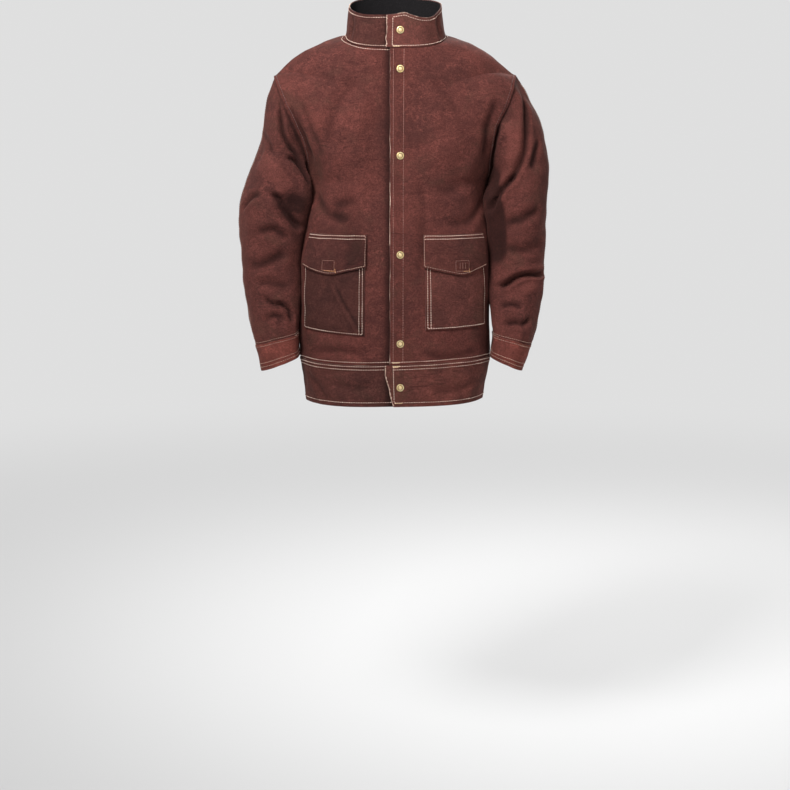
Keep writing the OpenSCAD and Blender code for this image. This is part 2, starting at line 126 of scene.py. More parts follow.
# Sleeve rings: inner side's x and height, outer side's x and height, middle's y, half depth
SLEEVE = [
    (0, (178, 431, 234, 631, 0, 62)), (1, (180.5, 425, 254, 582, 0, 66)),
    (2, (182.5, 418, 270, 526, 0, 69)), (3, (184, 408, 280, 480, 0, 71)),
    (4, (186, 392, 288, 428, 0, 71)), (5, (188, 365, 292, 380, 1, 70)),
    (6, (190, 325, 293, 330, 3, 67)), (7, (190, 277, 289, 272, 3, 63)),
    (8, (188, 235, 290, 228, -4, 60)), (9, (190, 185, 280, 168, -22, 54)),
    (10, (192, 139, 267, 114, -40, 48)), (11, (184, 94, 250, 64, -49, 45)),
]
CUFF_RING = 10
CUFF_END = 11
# Rough distances on the leather for one step of a surface's parameters: between two sleeve rings,
# between the last rings, across a front or half the back, and across half a sleeve
RING_PITCH = 46
LAST_RING_PITCH = 50
PANEL_W = 170
SLEEVE_PANEL_W = 200
# The arms hang unevenly: change of a sleeve's outer side's x, by ring
LEFT_OUTLINE = [(0, 0), (1, 11), (2, 18), (3, 16), (4, 11), (5, 4), (6, 1), (11, 0)]
RIGHT_OUTLINE = [(0, 0), (1, -4), (2, -12), (3, -14), (4, -4),
                 (5, 5), (6, 6), (8, 6), (10, 8), (11, 12)]
# How far each sleeve's inner side closes round the trunk, before and behind it, by ring
HUG = [(0, 0), (1, 3), (2, 10), (3, 15), (4, 17), (6, 17), (8, 17), (10, 10), (11, 3)]
# How far the leather before each armpit is pulled in towards the middle, by height above the
# origin; about which x, how widely to its sides, and over what depth the pull begins
LEFT_PULL = [(-430, 0), (-356, 5), (-307, 12), (-250, 7),
             (-200, 12), (-168, 17), (-120, 5), (-80, 0)]
RIGHT_PULL = [(-430, 0), (-340, 14), (-285, 27), (-200, 21), (-150, 15), (-100, 6), (-60, 0)]
PULL_X, PULL_W, PULL_D = 185, 40, 45
# How far the waist seam and the hem hang above the CAD's, on the wearer's right and left; how far
# the waist seam sags at the middle of the front, likewise, and behind, and over what depth the one
# sag passes into the other; the height where the lift ends
WAIST_LIFT, HEM_LIFT = (12, 16), (4, 8)
FRONT_SAG, BACK_SAG, SAG_D = (6, 2), 2, 80
LIFT_TOP_H = 150


# --- curves ------------------------------------------------------------------

def lerp(a, b, t):
    return a + (b - a) * t


def smooth(t):
    t = np.clip(t, 0, 1)
    return t * t * (3 - 2 * t)


def spline(table, x):
    """Smooth value at x of a table of (x, value) pairs."""
    keys = [row[0] for row in table]
    values = [np.array(row[1], float) for row in table]
    last = len(table) - 1
    i = min(max(int(np.searchsorted(keys, x, side="right")) - 1, 0), last - 1)

    def slope(j):
        a, b = max(j - 1, 0), min(j + 1, last)
        return (values[b] - values[a]) / (keys[b] - keys[a])

    w = keys[i + 1] - keys[i]
    t = (x - keys[i]) / w
    return (values[i] * (2 * t**3 - 3 * t**2 + 1) + slope(i) * w * (t**3 - 2 * t**2 + t)
            + values[i + 1] * (3 * t**2 - 2 * t**3) + slope(i + 1) * w * (t**3 - t**2))


def bezier(p, t):
    """Points at t on the cubic with the four control points p."""
    p, t = np.array(p, float), np.asarray(t)[:, None]
    s = 1 - t
    return p[0] * s**3 + 3 * p[1] * s * s * t + 3 * p[2] * s * t * t + p[3] * t**3


def front_y(z):
    return (z - HEM_Z) * math.tan(FRONT_LEAN) - FRONT_DEPTH


def back_y(z):
    return float(spline(BACK, z - HEM_Z))


def level_row(h, front):
    """Control points of a row below the underarm, from the middle to the side seam."""
    z, half = HEM_Z + h, float(spline(SIDE, h))
    start, y = (FOLD_X, front_y(z)) if front else (0, back_y(z))
    handle = lerp(start, half, ROUNDNESS)
    return [(start, y, z), (handle, y, z), (half, y * ROUNDNESS, z), (half, 0, z)]


def armhole_share(t):
    """Height and depth along half an armhole, t from 0 at the underarm to 1 at the shoulder."""
    return 2 * np.sin(np.pi / 2 * t) - 1, np.sin(np.pi * np.power(t, 0.85))


def upper_edge(v, front):
    """Where a row above the underarm ends: on the armhole, or on the shoulder seam above it."""
    if v <= 2:
        height, depth = armhole_share(v - 1)
        up = (1 + height) / 2
        facing = -1 if front else 1
        return np.array([lerp(CHEST_HALF_W, SHOULDER_HALF_W, up), facing * ARMHOLE_HALF_D * depth,
                         HEM_Z + lerp(UNDERARM_H, SHOULDER_H, up)])
    t = v - 2
    return np.array([lerp(SHOULDER_HALF_W, NECK_HALF_W, t), 0,
                     lerp(HEM_Z + SHOULDER_H, 0, t) + SHOULDER_BOW * 4 * t * (1 - t)])


def upper_row(v, front):
    """Control points of a row between the underarm and the collar seam."""
    shoulder_z = HEM_Z + (FRONT_CENTRE_H if front else BACK_CENTRE_H)
    neck_z = NECK_FRONT_Z if front else NECK_BACK_Z
    if v <= 2:
        z = lerp(HEM_Z + UNDERARM_H, shoulder_z, v - 1)
    else:
        z = lerp(shoulder_z, neck_z, v - 2)
    centre = np.array([FOLD_X, front_y(z), z] if front else [0, back_y(z), z])
    edge = upper_edge(v, front)
    reach = np.array([float(spline(FRONT_START if front else BACK_START, v)), 0, 0])
    return [centre, centre + reach, edge - spline(FRONT_END if front else BACK_END, v), edge]


def collar_top_row(front):
    z = NECK_FRONT_Z + COLLAR_H
    middle = np.array([FOLD_X, front_y(z), z] if front else [0, COLLAR_BACK_Y, COLLAR_BACK_Z])
    side = np.array([COLLAR_TOP_HALF_W, 0, COLLAR_SIDE_Z])
    at_middle, at_side = COLLAR_FRONT_HANDLES if front else COLLAR_BACK_HANDLES
    return [middle, middle + at_middle, side + at_side, side]


def row(v, front):
    """Control points of a row of the body's surface."""
    if v <= 0:
        return level_row(BAND_H * (v + 1), front)
    if v <= 1:
        return level_row(lerp(BAND_H, UNDERARM_H, v), front)
    if v <= 3:
        return upper_row(v, front)
    return lerp(np.array(upper_row(3, front)), np.array(collar_top_row(front)), v - 3)


def sleeve_ring(k, n, right):
    """Ring k of a left sleeve: from the inner side over the front to the outer side and back round."""
    inner_x, inner_h, outer_x, outer_h, mid_y, depth = spline(SLEEVE, k)
    outer_x += float(spline(RIGHT_OUTLINE if right else LEFT_OUTLINE, k))
    t = np.linspace(0, 1, n + 1)
    pointed = np.array(armhole_share(t))
    rounded = np.array([-np.cos(np.pi * t), np.sin(np.pi * t)])
    share = lerp(pointed, rounded, min(k / 4, 1))
    share = np.concatenate([share * [[1], [-1]], share[:, -2::-1]], axis=1)
    x = (inner_x + outer_x) / 2 + share[0] * (outer_x - inner_x) / 2
    z = HEM_Z + (inner_h + outer_h) / 2 + share[0] * (outer_h - inner_h) / 2
    hug = np.clip(-share[0], 0, 1) * np.abs(share[1]) * 2 * float(spline(HUG, k))
    return np.stack([x - hug, mid_y + depth * share[1], z], axis=1)


# --- surfaces ----------------------------------------------------------------

def sections(*spans):
    """Parameter values over joined spans (start, end, steps)."""
    parts = [np.linspace(a, b, n + 1)[1:] for a, b, n in spans]
    return np.concatenate([[spans[0][0]], *parts])


BAND_ROWS, TRUNK_ROWS, ARMHOLE_ROWS, SHOULDER_ROWS, COLLAR_ROWS = 18, 84, 52, 28, 18
ROWS = sections((-1, 0, BAND_ROWS), (0, 1, TRUNK_ROWS), (1, 2, ARMHOLE_ROWS),
                (2, 3, SHOULDER_ROWS), (3, 4.3, COLLAR_ROWS))
UNDERARM_ROW = BAND_ROWS + TRUNK_ROWS
SHOULDER_ROW = UNDERARM_ROW + ARMHOLE_ROWS
FLAT_COLS = 10
FRONT_COLS = sections((-1, 0, FLAT_COLS), (0, 1, 60))
BACK_COLS = sections((-1, 1, 120))
RINGS = sections((0, CUFF_RING, 130), (CUFF_RING, CUFF_END, 12))
SLEEVE_HALF = ARMHOLE_ROWS
SLEEVE_COLS = sections((0, 2, 2 * SLEEVE_HALF))


def front_grid(right):
    """A front with its flat strip. The right one is mirrored and passes below the overlap."""
    rows = []
    t = FRONT_COLS[FLAT_COLS:]
    start_x = -UNDERLAP_X if right else -BAND_EDGE_TOP
    flat_x = lerp(start_x, FOLD_X, FRONT_COLS[:FLAT_COLS] + 1)
    for v in ROWS:
        p = row(v, True)
        flat = np.stack([flat_x, np.full(FLAT_COLS, p[0][1]), np.full(FLAT_COLS, p[0][2])], axis=1)
        points = np.concatenate([flat, bezier(p, t)])
        if right:
            points[:, 1] += UNDERLAP_DEPTH * np.concatenate([np.ones(FLAT_COLS), (1 - t) ** 3])
            points[:, 0] *= -1
        rows.append(points)
    return np.array(rows) * MM


def back_grid():
    rows = []
    for v in ROWS:
        points = bezier(row(v, False), np.abs(BACK_COLS))
        points[:, 0] *= np.where(BACK_COLS < 0, -1, 1)
        rows.append(points)
    return np.array(rows) * MM


def sleeve_grid(right):
    points = np.array([sleeve_ring(k, SLEEVE_HALF, right) for k in RINGS]) * MM
    if right:
        points[..., 0] *= -1
    return points


def pulled(points):
    """Draws the leather before the armpits inwards, trunk and sleeves together."""
    x, y, z = (points[..., i] / MM for i in range(3))
    low = np.clip(z, LEFT_PULL[0][0], 0).ravel()
    left, right = (np.interp(low, *zip(*table)) for table in (LEFT_PULL, RIGHT_PULL))
    pull = np.where(x.ravel() > 0, left, right).reshape(x.shape)
    pull = pull * np.exp(-((np.abs(x) - PULL_X) / PULL_W) ** 2) * smooth(-y / PULL_D)
    return points - np.stack([np.sign(x) * pull * MM, 0 * y, 0 * z], axis=-1)


def hung(points):
    """Lifts the waist seam and the hem where the garment hangs short, sliding them along the front."""
    x, y, z = (points[..., i] / MM for i in range(3))
    side = smooth((x / CHEST_HALF_W + 1) / 2)
    h = z - HEM_Z
    drop = lerp(*FRONT_SAG, side) * np.clip(1 - (x / CHEST_HALF_W) ** 2, 0, 1)
    waist = lerp(*WAIST_LIFT, side) - lerp(BACK_SAG, drop, smooth(-y / SAG_D))
    below = lerp(lerp(*HEM_LIFT, side), waist, smooth(h / BAND_H))
    above = waist * smooth((LIFT_TOP_H - h) / (LIFT_TOP_H - BAND_H))
    lift = np.where(h < BAND_H, below, above)
    lean = math.tan(FRONT_LEAN) * smooth((-y - 30) / 60)
    return points + np.stack([0 * x, lift * lean, lift], axis=-1) * MM


class Surface:
    """Points over rows and columns, read smoothly in between. side is 1 where columns then rows
    give the outward normal by the right-hand rule, and -1 where they give the inward one."""

    def __init__(self, rows, cols, points, side, wrap=False):
        self.rows, self.cols, self.side, self.wrap = rows, cols, side, wrap
        self.set(points)

    def set(self, points):
        rows = np.concatenate([2 * points[:1] - points[1:2], points, 2 * points[-1:] - points[-2:-1]])
        if self.wrap:
            left, right = rows[:, -2:-1], rows[:, 1:2]
        else:
            left, right = 2 * rows[:, :1] - rows[:, 1:2], 2 * rows[:, -1:] - rows[:, -2:-1]
        self.points = points
        self.padded = np.concatenate([left, rows, right], axis=1)

    def read(self, j, i):
        """Catmull-Rom value at fractional row j and column i, arrays of one shape."""
        j0 = np.clip(np.floor(j).astype(int), 0, self.padded.shape[0] - 4)
        i0 = np.clip(np.floor(i).astype(int), 0, self.padded.shape[1] - 4)

        def weights(t):
            return (-t / 2 + t**2 - t**3 / 2, 1 - 2.5 * t**2 + 1.5 * t**3,
                    t / 2 + 2 * t**2 - 1.5 * t**3, (t**3 - t**2) / 2)

        wj, wi = weights(j - j0), weights(i - i0)
        return sum((wj[a] * wi[b])[..., None] * self.padded[j0 + a, i0 + b]
                   for a in range(4) for b in range(4))

    def indices(self, v, u):
        v, u = np.broadcast_arrays(np.asarray(v, float), np.asarray(u, float))
        j = np.interp(v, self.rows, np.arange(len(self.rows)))
        return j, np.interp(u, self.cols, np.arange(len(self.cols)))

    def at(self, v, u):
        """Position and fold depth at (v, u)."""
        value = self.read(*self.indices(v, u))
        return value[..., :3], value[..., 3]

    def normal(self, v, u):
        j, i = self.indices(v, u)
        across = self.read(j, i + 0.5) - self.read(j, i - 0.5)
        along = self.read(j + 0.5, i) - self.read(j - 0.5, i)
        n = np.cross(across[..., :3], along[..., :3]) * self.side
        return n / np.maximum(np.linalg.norm(n, axis=-1, keepdims=True), 1e-12)


class Garment:
    """All surfaces with their shared seam points, so that folds cross the seams unbroken."""

    def __init__(self):
        self.surface = {
            "left_front": Surface(ROWS, FRONT_COLS, pulled(hung(front_grid(False))), 1),
            "right_front": Surface(ROWS, FRONT_COLS, pulled(hung(front_grid(True))), -1),
            "back": Surface(ROWS, BACK_COLS, pulled(hung(back_grid())), -1),
            "left_sleeve": Surface(RINGS, SLEEVE_COLS, pulled(sleeve_grid(False)), -1, wrap=True),
            "right_sleeve": Surface(RINGS, SLEEVE_COLS, pulled(sleeve_grid(True)), 1, wrap=True),
        }
        self.ids = self.number()
        count = 1 + max(ids.max() for ids in self.ids.values())
        self.points = np.zeros((count, 3))
        for name, s in self.surface.items():
            self.points[self.ids[name]] = s.points
        self.fold = np.zeros(count)
        self.shift = np.zeros(count)
        self.plain = self.points.copy()
        self.refresh()

    def number(self):
        """Vertex numbers of each surface; points that surfaces share have one number."""
        ids, start = {}, 0

        def fresh(name, cols=None):
            nonlocal start
            rows, all_cols = self.surface[name].points.shape[:2]
            cols = cols or all_cols
            ids[name] = np.arange(start, start + rows * cols).reshape(rows, cols)
            start += rows * cols

        fresh("back")
        body = np.r_[0:UNDERARM_ROW + 1, SHOULDER_ROW:len(ROWS)]
        armhole = slice(UNDERARM_ROW, SHOULDER_ROW + 1)
        for side, column in (("left", -1), ("right", 0)):
            front, sleeve = side + "_front", side + "_sleeve"
            fresh(front)
            ids[front][body, -1] = ids["back"][body, column]
            fresh(sleeve, 2 * SLEEVE_HALF)
            ids[sleeve] = np.concatenate([ids[sleeve], ids[sleeve][:, :1]], axis=1)
            ids[sleeve][0, :SLEEVE_HALF + 1] = ids[front][armhole, -1]
            ids[sleeve][0, SLEEVE_HALF:] = ids["back"][armhole, column][::-1]
        return ids

    def refresh(self):
        """Passes the shared points back to the surfaces and works out the normals."""
        self.normals = np.zeros_like(self.points)
        for name, s in self.surface.items():
            ids = self.ids[name]
            p = self.points[ids]
            face = np.cross(p[1:, 1:] - p[:-1, :-1], p[1:, :-1] - p[:-1, 1:]) * s.side
            for corner in (ids[1:, 1:], ids[:-1, :-1], ids[1:, :-1], ids[:-1, 1:]):
                np.add.at(self.normals, corner, face)
            s.set(np.concatenate([p, self.fold[ids][..., None]], axis=2))
        self.normals /= np.maximum(np.linalg.norm(self.normals, axis=1, keepdims=True), 1e-12)


garment = Garment()
plain = {name: Surface(s.rows, s.cols, s.points.copy(), s.side, s.wrap)
         for name, s in garment.surface.items()}


# --- folds -------------------------------------------------------------------

def seen_point(parts, x, z, back):
    """The garment's vertex that lies at x, z (millimetres) seen from the front, or from behind."""
    ids = np.unique(np.concatenate([garment.ids[p].ravel() for p in parts]))
    facing = garment.normals[ids, 1] * (1 if back else -1) > 0.05
    ids = ids[facing]
    off = garment.plain[ids][:, [0, 2]] - np.array([x, z]) * MM
    return garment.plain[ids[np.argmin((off**2).sum(1))]]


def curve_through(points, step=3 * MM):
    """Smooth polyline through the points, about one step apart."""
    p = np.array(points)
    p = np.concatenate([[2 * p[0] - p[1]], p, [2 * p[-1] - p[-2]]])
    out = []
    for a, b, c, d in zip(p[:-3], p[1:-2], p[2:-1], p[3:]):
        t = np.linspace(0, 1, max(int(np.linalg.norm(c - b) / step), 2), endpoint=False)[:, None]
        out.append(0.5 * (2 * b + (c - a) * t + (2 * a - 5 * b + 4 * c - d) * t**2
                          + (3 * b - a - 3 * c + d) * t**3))
    return np.concatenate([*out, [p[-2]]])


def fold(parts, path, depth, width, crisp=1.0, ridge=1.4, back=False, painted_shading=1.0):
    """Presses a valley along the path, with a ridge on either side. depth and width in millimetres;
    crisp below 1 makes the side to the left of the path steeper. A negative depth raises a ridge.
    The last argument is how strongly the valley is darkened with painted shade and the ridge lightened."""
    line = curve_through([seen_point(parts, x, z, back) for x, z in path])
    along = np.linspace(0, 1, len(line))
    tangent = np.gradient(line, axis=0)
    ids = np.unique(np.concatenate([garment.ids[p].ravel() for p in parts]))
    near = np.all((garment.plain[ids] > line.min(0) - 3.5 * width * MM)
                  & (garment.plain[ids] < line.max(0) + 3.5 * width * MM), axis=1)
    ids = ids[near]
    p = garment.plain[ids]
    distance = np.linalg.norm(p[:, None] - line[None], axis=2)
    nearest = distance.argmin(1)
    d = distance.min(1)
    sideways = np.cross(garment.normals[ids], tangent[nearest])
    left = np.einsum("ij,ij->i", sideways, p - line[nearest]) > 0
    q = d / (width * MM * np.where(left, crisp, 1.0))
    taper = smooth(np.minimum(along, 1 - along) * 5)[nearest]
    press = -(1 - ridge * q**2) * np.exp(-q**2) * taper
    garment.shift[ids] += depth * MM * press
    # Painted shade in the valley and a lighter ridge, carried by the fold depth
    garment.fold[ids] += press * np.clip(depth / 5, -1, 1) * painted_shading


def calm(p):
    """How freely the leather may ripple at a point: little beside the snaps and on the collar."""
    front = smooth((np.abs(p[:, 0]) - 32 * MM) / (45 * MM))
    front = np.where(p[:, 1] < 0, front, 1)
    return front * lerp(1, 0.45, smooth((p[:, 2] + 40 * MM) / (60 * MM)))


def ripple(scale, height, seed, stretch=(1, 1, 1)):
    """Soft unevenness all over, height in millimetres, scale in waves per metre."""
    shift = Vector((seed * 3.7, seed * 1.3, seed * 2.1))
    p = garment.plain * scale * np.array(stretch)
    values = np.array([noise.noise(Vector(q) + shift) for q in p])
    garment.shift += values * height * MM * calm(garment.plain)


LEFT_ARM, RIGHT_ARM = ["left_sleeve"], ["right_sleeve"]
TRUNK = ["left_front", "right_front", "back"]

# The wearer's right sleeve, front: drag folds into the armpit, a pocket of leather above the elbow
fold(RIGHT_ARM, [(-226, -110), (-216, -161), (-206, -190), (-184, -226), (-166, -262)], 8, 10, 0.6)
fold(RIGHT_ARM, [(-240, -290), (-222, -306), (-211, -325), (-196, -350), (-180, -366)],
     12, 14, 0.6, painted_shading=1.5)
# A broad shallow fold that mostly paints shade on the sleeve's inner front
fold(RIGHT_ARM, [(-206, -286), (-194, -312), (-184, -346), (-182, -400)],
     5, 17, 1, 0.3, painted_shading=3)
fold(RIGHT_ARM, [(-208, -224), (-192, -232), (-174, -252), (-160, -280)], 9, 9, 0.7)
fold(RIGHT_ARM, [(-200, -330), (-188, -372), (-184, -420)], 8, 16, 1, 0.6)
fold(RIGHT_ARM, [(-262, -230), (-228, -254), (-196, -300)], -6, 22, 1, 0.5)
fold(RIGHT_ARM, [(-268, -372), (-232, -366), (-198, -384)], 5, 12)
fold(RIGHT_ARM, [(-282, -436), (-244, -430), (-208, -402)], 5, 16)
fold(RIGHT_ARM, [(-270, -470), (-236, -466), (-204, -478)], 4, 14)
fold(RIGHT_ARM, [(-260, -488), (-235, -503), (-214, -508), (-200, -524), (-197, -552)], 9, 10, 0.6)
fold(RIGHT_ARM, [(-258, -540), (-227, -528), (-202, -538)], 5, 9)
fold(RIGHT_ARM, [(-293, -330), (-286, -318), (-270, -304), (-250, -300)], 6, 9)
fold(RIGHT_ARM, [(-262, -180), (-246, -196), (-232, -226)], 4, 12)

# The wearer's left sleeve, front: a long curved drag fold and a sharp crease at the elbow
fold(LEFT_ARM, [(247, -100), (252, -150), (251, -196), (247, -226), (231, -258), (206, -290)],
     8.5, 12, 0.7)
fold(LEFT_ARM, [(236, -256), (214, -280), (190, -312), (178, -340)], 9, 10, 0.8)
fold(LEFT_ARM, [(186, -150), (188, -190), (184, -232), (176, -272)], 8, 9, 1, 0.8)
fold(LEFT_ARM, [(214, -150), (222, -200), (212, -250)], -5, 14, 1, 0.5)
fold(LEFT_ARM, [(278, -190), (270, -222), (262, -256)], 4, 11)
fold(LEFT_ARM, [(294, -452), (276, -452), (258, -454), (232, -459), (214, -470), (192, -480)],
     13, 10, 0.7, 1.7)
fold(LEFT_ARM, [(288, -474), (262, -478), (236, -486)], -4, 13, 1, 0.5)
fold(LEFT_ARM, [(198, -514), (222, -510), (246, -516)], 5, 9)
fold(LEFT_ARM, [(206, -548), (230, -541), (246, -545), (264, -534)], 7, 9)
fold(LEFT_ARM, [(278, -322), (248, -344), (210, -356)], 5, 15)
fold(LEFT_ARM, [(284, -392), (250, -404), (212, -400)], 4, 15)
# Broad shallow folds that mostly paint shade: along the sleeve's inner side, and below its shoulder
fold(LEFT_ARM, [(176, -240), (184, -286), (193, -330), (196, -376), (194, -440)],
     8, 18, 1, 0.4, painted_shading=2.6)
fold(LEFT_ARM, [(246, -104), (258, -150), (266, -206), (262, -262)], 1.5, 24, painted_shading=2.4)

# Both sleeves behind
for arm, way in ((LEFT_ARM, 1), (RIGHT_ARM, -1)):
    for path, depth, width in (
        ([(232, -112), (238, -180), (226, -236), (200, -282)], 8, 12),
        ([(258, -300), (228, -316), (196, -318)], 7, 14),
        ([(286, -400), (254, -398), (208, -414)], 7, 14),
        ([(288, -450), (250, -454), (204, -446)], -5, 14),
        ([(280, -500), (244, -508), (206, -492)], 7, 12),
        ([(270, -552), (236, -556), (204, -546)], 5, 10),
        ([(212, -200), (206, -250), (200, -300)], 6, 12),
    ):
        fold(arm, [(x * way, z) for x, z in path], depth, width, back=True, painted_shading=0.45)

# The trunk: pulls towards the armpits, slack at the sides and above the waist seam
fold(TRUNK, [(196, -110), (176, -170), (168, -236)], 4.5, 13)
fold(TRUNK, [(-206, -120), (-178, -180), (-156, -244)], 4.5, 13)
fold(TRUNK, [(-186, -110), (-160, -170), (-136, -240)], 3.5, 14)
fold(TRUNK, [(60, -66), (108, -130), (148, -226)], 3.2, 18)
fold(TRUNK, [(-70, -70), (-112, -140), (-132, -226)], 3.2, 20)
fold(TRUNK, [(-36, -110), (-46, -210), (-40, -330)], 3, 24, painted_shading=0.6)
fold(TRUNK, [(44, -250), (56, -350), (42, -470)], 2.8, 18)
fold(TRUNK, [(172, -300), (140, -348), (84, -346)], 4, 15)
fold(TRUNK, [(-160, -290), (-134, -332), (-84, -344)], 4, 15)
fold(TRUNK, [(-150, -300), (-110, -316), (-56, -300)], 3, 16)
fold(TRUNK, [(150, -270), (104, -290), (60, -280)], 3, 16)
fold(TRUNK, [(-48, -600), (-106, -590), (-166, -602)], 3.6, 11)
fold(TRUNK, [(42, -594), (104, -604), (166, -592)], 3.6, 11)
fold(TRUNK, [(-130, -655), (-76, -664), (-34, -654)], 3, 13)
fold(TRUNK, [(56, -660), (110, -668), (156, -654)], 3, 13)
fold(TRUNK, [(-172, -640), (-150, -664), (-128, -694)], 3, 12)
# Broad shallow folds that mostly paint shade on the wearer's right front beside the placket
fold(TRUNK, [(-126, -300), (-84, -360), (-66, -470)], 1.5, 46, painted_shading=2.2)
fold(TRUNK, [(-34, -70), (-26, -180), (-32, -330)], 1.2, 20, painted_shading=1.2)
for path, depth, width in (
    ([(36, -84), (102, -136), (178, -262)], 6, 24),
    ([(-28, -96), (-112, -150), (-172, -240)], 5, 26),
    ([(52, -196), (108, -240), (170, -300)], 5, 20),
    ([(-40, -236), (-98, -262), (-168, -300)], 6, 22),
    ([(150, -310), (124, -420), (134, -548)], 6, 26),
    ([(-158, -330), (-140, -430), (-150, -520)], 5, 24),
    ([(64, -350), (72, -470), (60, -570)], 5, 28),
    ([(-70, -390), (-58, -490), (-82, -590)], 6, 26),
    ([(102, -300), (92, -420), (100, -520)], -4, 26),
    ([(-112, -330), (-96, -440), (-112, -540)], -4, 26),
    ([(24, -566), (90, -594), (166, -580)], 4, 16),
    ([(-30, -588), (-100, -580), (-160, -596)], 4, 14),
    ([(6, -110), (-4, -220), (10, -340)], 3, 30),
):
    fold(TRUNK, path, depth, width, back=True, painted_shading=0.3)

# The collar gives at the sides where it bends forward
for way in (1, -1):
    fold(TRUNK, [(86 * way, -6), (80 * way, 22), (82 * way, 44)], 3, 9)


def shade_near(part, distance, spread_mm, amount):
    """Paints shade on a surface near an edge; distance is each vertex's own from it, in millimetres."""
    ids = garment.ids[part]
    garment.fold[ids] -= amount * np.exp(-(distance / spread_mm) ** 2)


def pucker(part, ring, spread_mm, height):
    """Small puckers that run out from a sewn ring of a sleeve."""
    s = garment.surface[part]
    away = np.abs(s.rows - ring)[:, None] * RING_PITCH / spread_mm
    wave = np.array([noise.noise(Vector((x * 8.0, ring, len(part)))) for x in s.cols % 2])
    shift = height * MM * wave * np.exp(-away)
    np.add.at(garment.shift, garment.ids[part][:, :-1], shift[:, :-1])


def shade_and_gather(side):
    """Painted shade where a sleeve is sewn in, along its inner side and on the trunk beside it, and
    puckers at its armhole and its cuff."""
    sleeve, front = side + "_sleeve", side + "_front"
    rings, turns = RINGS[:, None], SLEEVE_COLS[None]
    shade_near(sleeve, rings * RING_PITCH, 9, 0.8)
    pucker(sleeve, 0.55, 22, 5)
    pucker(sleeve, CUFF_RING - 0.35, 20, 6)
    from_inner = np.minimum(turns, 2 - turns) * SLEEVE_PANEL_W + 60 * smooth((rings - 8.5) / 1.5)
    shade_near(sleeve, from_inner, 58, 1.3)
    from_side = (1 - FRONT_COLS)[None] * PANEL_W + 60 * np.clip(ROWS - 1, 0, 1)[:, None]
    shade_near(front, from_side, 22, 1.0)


# Painted shadow on the right front beside the overlap's edge at the placket
from_placket = -garment.surface["right_front"].points[..., 0] / MM - PLACKET_EDGE
shade_near("right_front", np.clip(from_placket, 0, None), 13, 1.2)
for side in ("left", "right"):
    shade_and_gather(side)

ripple(7, 7, 1, (1, 1, 0.6))
ripple(17, 3.4, 2)
ripple(44, 1.3, 3)
garment.points += garment.normals * garment.shift[:, None]
garment.refresh()


# --- pieces ------------------------------------------------------------------

class Hide:
    """A piece of leather on a surface. rise(v, u) gives the height of its outer face above the
    surface, in millimetres, so that seams lap and pockets stand proud. The third argument, a function
    of (v, u), adds to the folds' depth for painted shading: above 0 it paints the leather lighter,
    below 0 it paints shade."""

    def __init__(self, surface, rise, painted_shading=lambda v, u: 0.0):
        self.surface = garment.surface[surface]
        self.plain = plain[surface]
        self.rise, self.painted_shading = rise, painted_shading

    def at(self, v, u, lift=0.0):
        """Outer point, normal and fold depth at (v, u), lift millimetres further out."""
        v, u = np.broadcast_arrays(np.asarray(v, float), np.asarray(u, float))
        point, depth = self.surface.at(v, u)
        normal = self.surface.normal(v, u)
        outer = point + normal * (self.rise(v, u) + lift)[..., None] * MM
        return outer, normal, depth + self.painted_shading(v, u)

    def scale(self, v, u):
        """Millimetres per unit of v and of u at a place."""
        h = 0.01
        rows = self.surface.at(np.array([v - h, v + h]), u)[0]
        cols = self.surface.at(v, np.array([u - h, u + h]))[0]
        return [float(np.linalg.norm(p[1] - p[0])) / (2 * h * MM) for p in (rows, cols)]


def front_u(x):
    """Column of the left front at x millimetres on the flat strip beside the front edge."""
    return (x + BAND_EDGE_TOP) / (FOLD_X + BAND_EDGE_TOP) - 1


def height_v(h):
    """Row at a height above the hem, up to the underarm."""
    return (h - BAND_H) / np.where(h < BAND_H, BAND_H, TRUNK_H)


def v_height(v):
    """Height above the hem of a row between the waist seam and the underarm."""
    return v * TRUNK_H + BAND_H


def edged(a, b, keys, fringe):
    """Values from a to b through the keys between them, closer together near both ends."""
    inside = [k for k in keys if min(a, b) < k < max(a, b)]
    way = 1 if b > a else -1
    extra = [a + way * f for f in fringe] + [b - way * f for f in fringe]
    values = np.array(sorted(set([a, b, *inside, *extra])))
    gaps = np.diff(values)
    keep = np.concatenate([[True], gaps > 0.12 * np.median(gaps)])
    keep[-1] = True
    values = values[keep]
    return values if b > a else values[::-1]


def new_object(name, vertices, faces, materials, slots=None):
    mesh = bpy.data.meshes.new(name)
    mesh.from_pydata(np.asarray(vertices).tolist(), [], np.asarray(faces).tolist())
    for material in materials:
        mesh.materials.append(material)
    if slots is not None:
        mesh.polygons.foreach_set("material_index", np.asarray(slots, np.int32))
    mesh.polygons.foreach_set("use_smooth", np.ones(len(mesh.polygons), bool))
    mesh.update()
    obj = bpy.data.objects.new(name, mesh)
    bpy.context.scene.collection.objects.link(obj)
    return obj


def write_attribute(obj, name, kind, values):
    data = obj.data.attributes.new(name, kind, "POINT").data
    key = "vector" if kind == "FLOAT_VECTOR" else "value"
    data.foreach_set(key, np.ascontiguousarray(values, np.float32).ravel())


def quads(a, b, c, d):
    return np.stack([x.ravel() for x in (a, b, c, d)], axis=1)


SHARP_EDGE = math.radians(50)


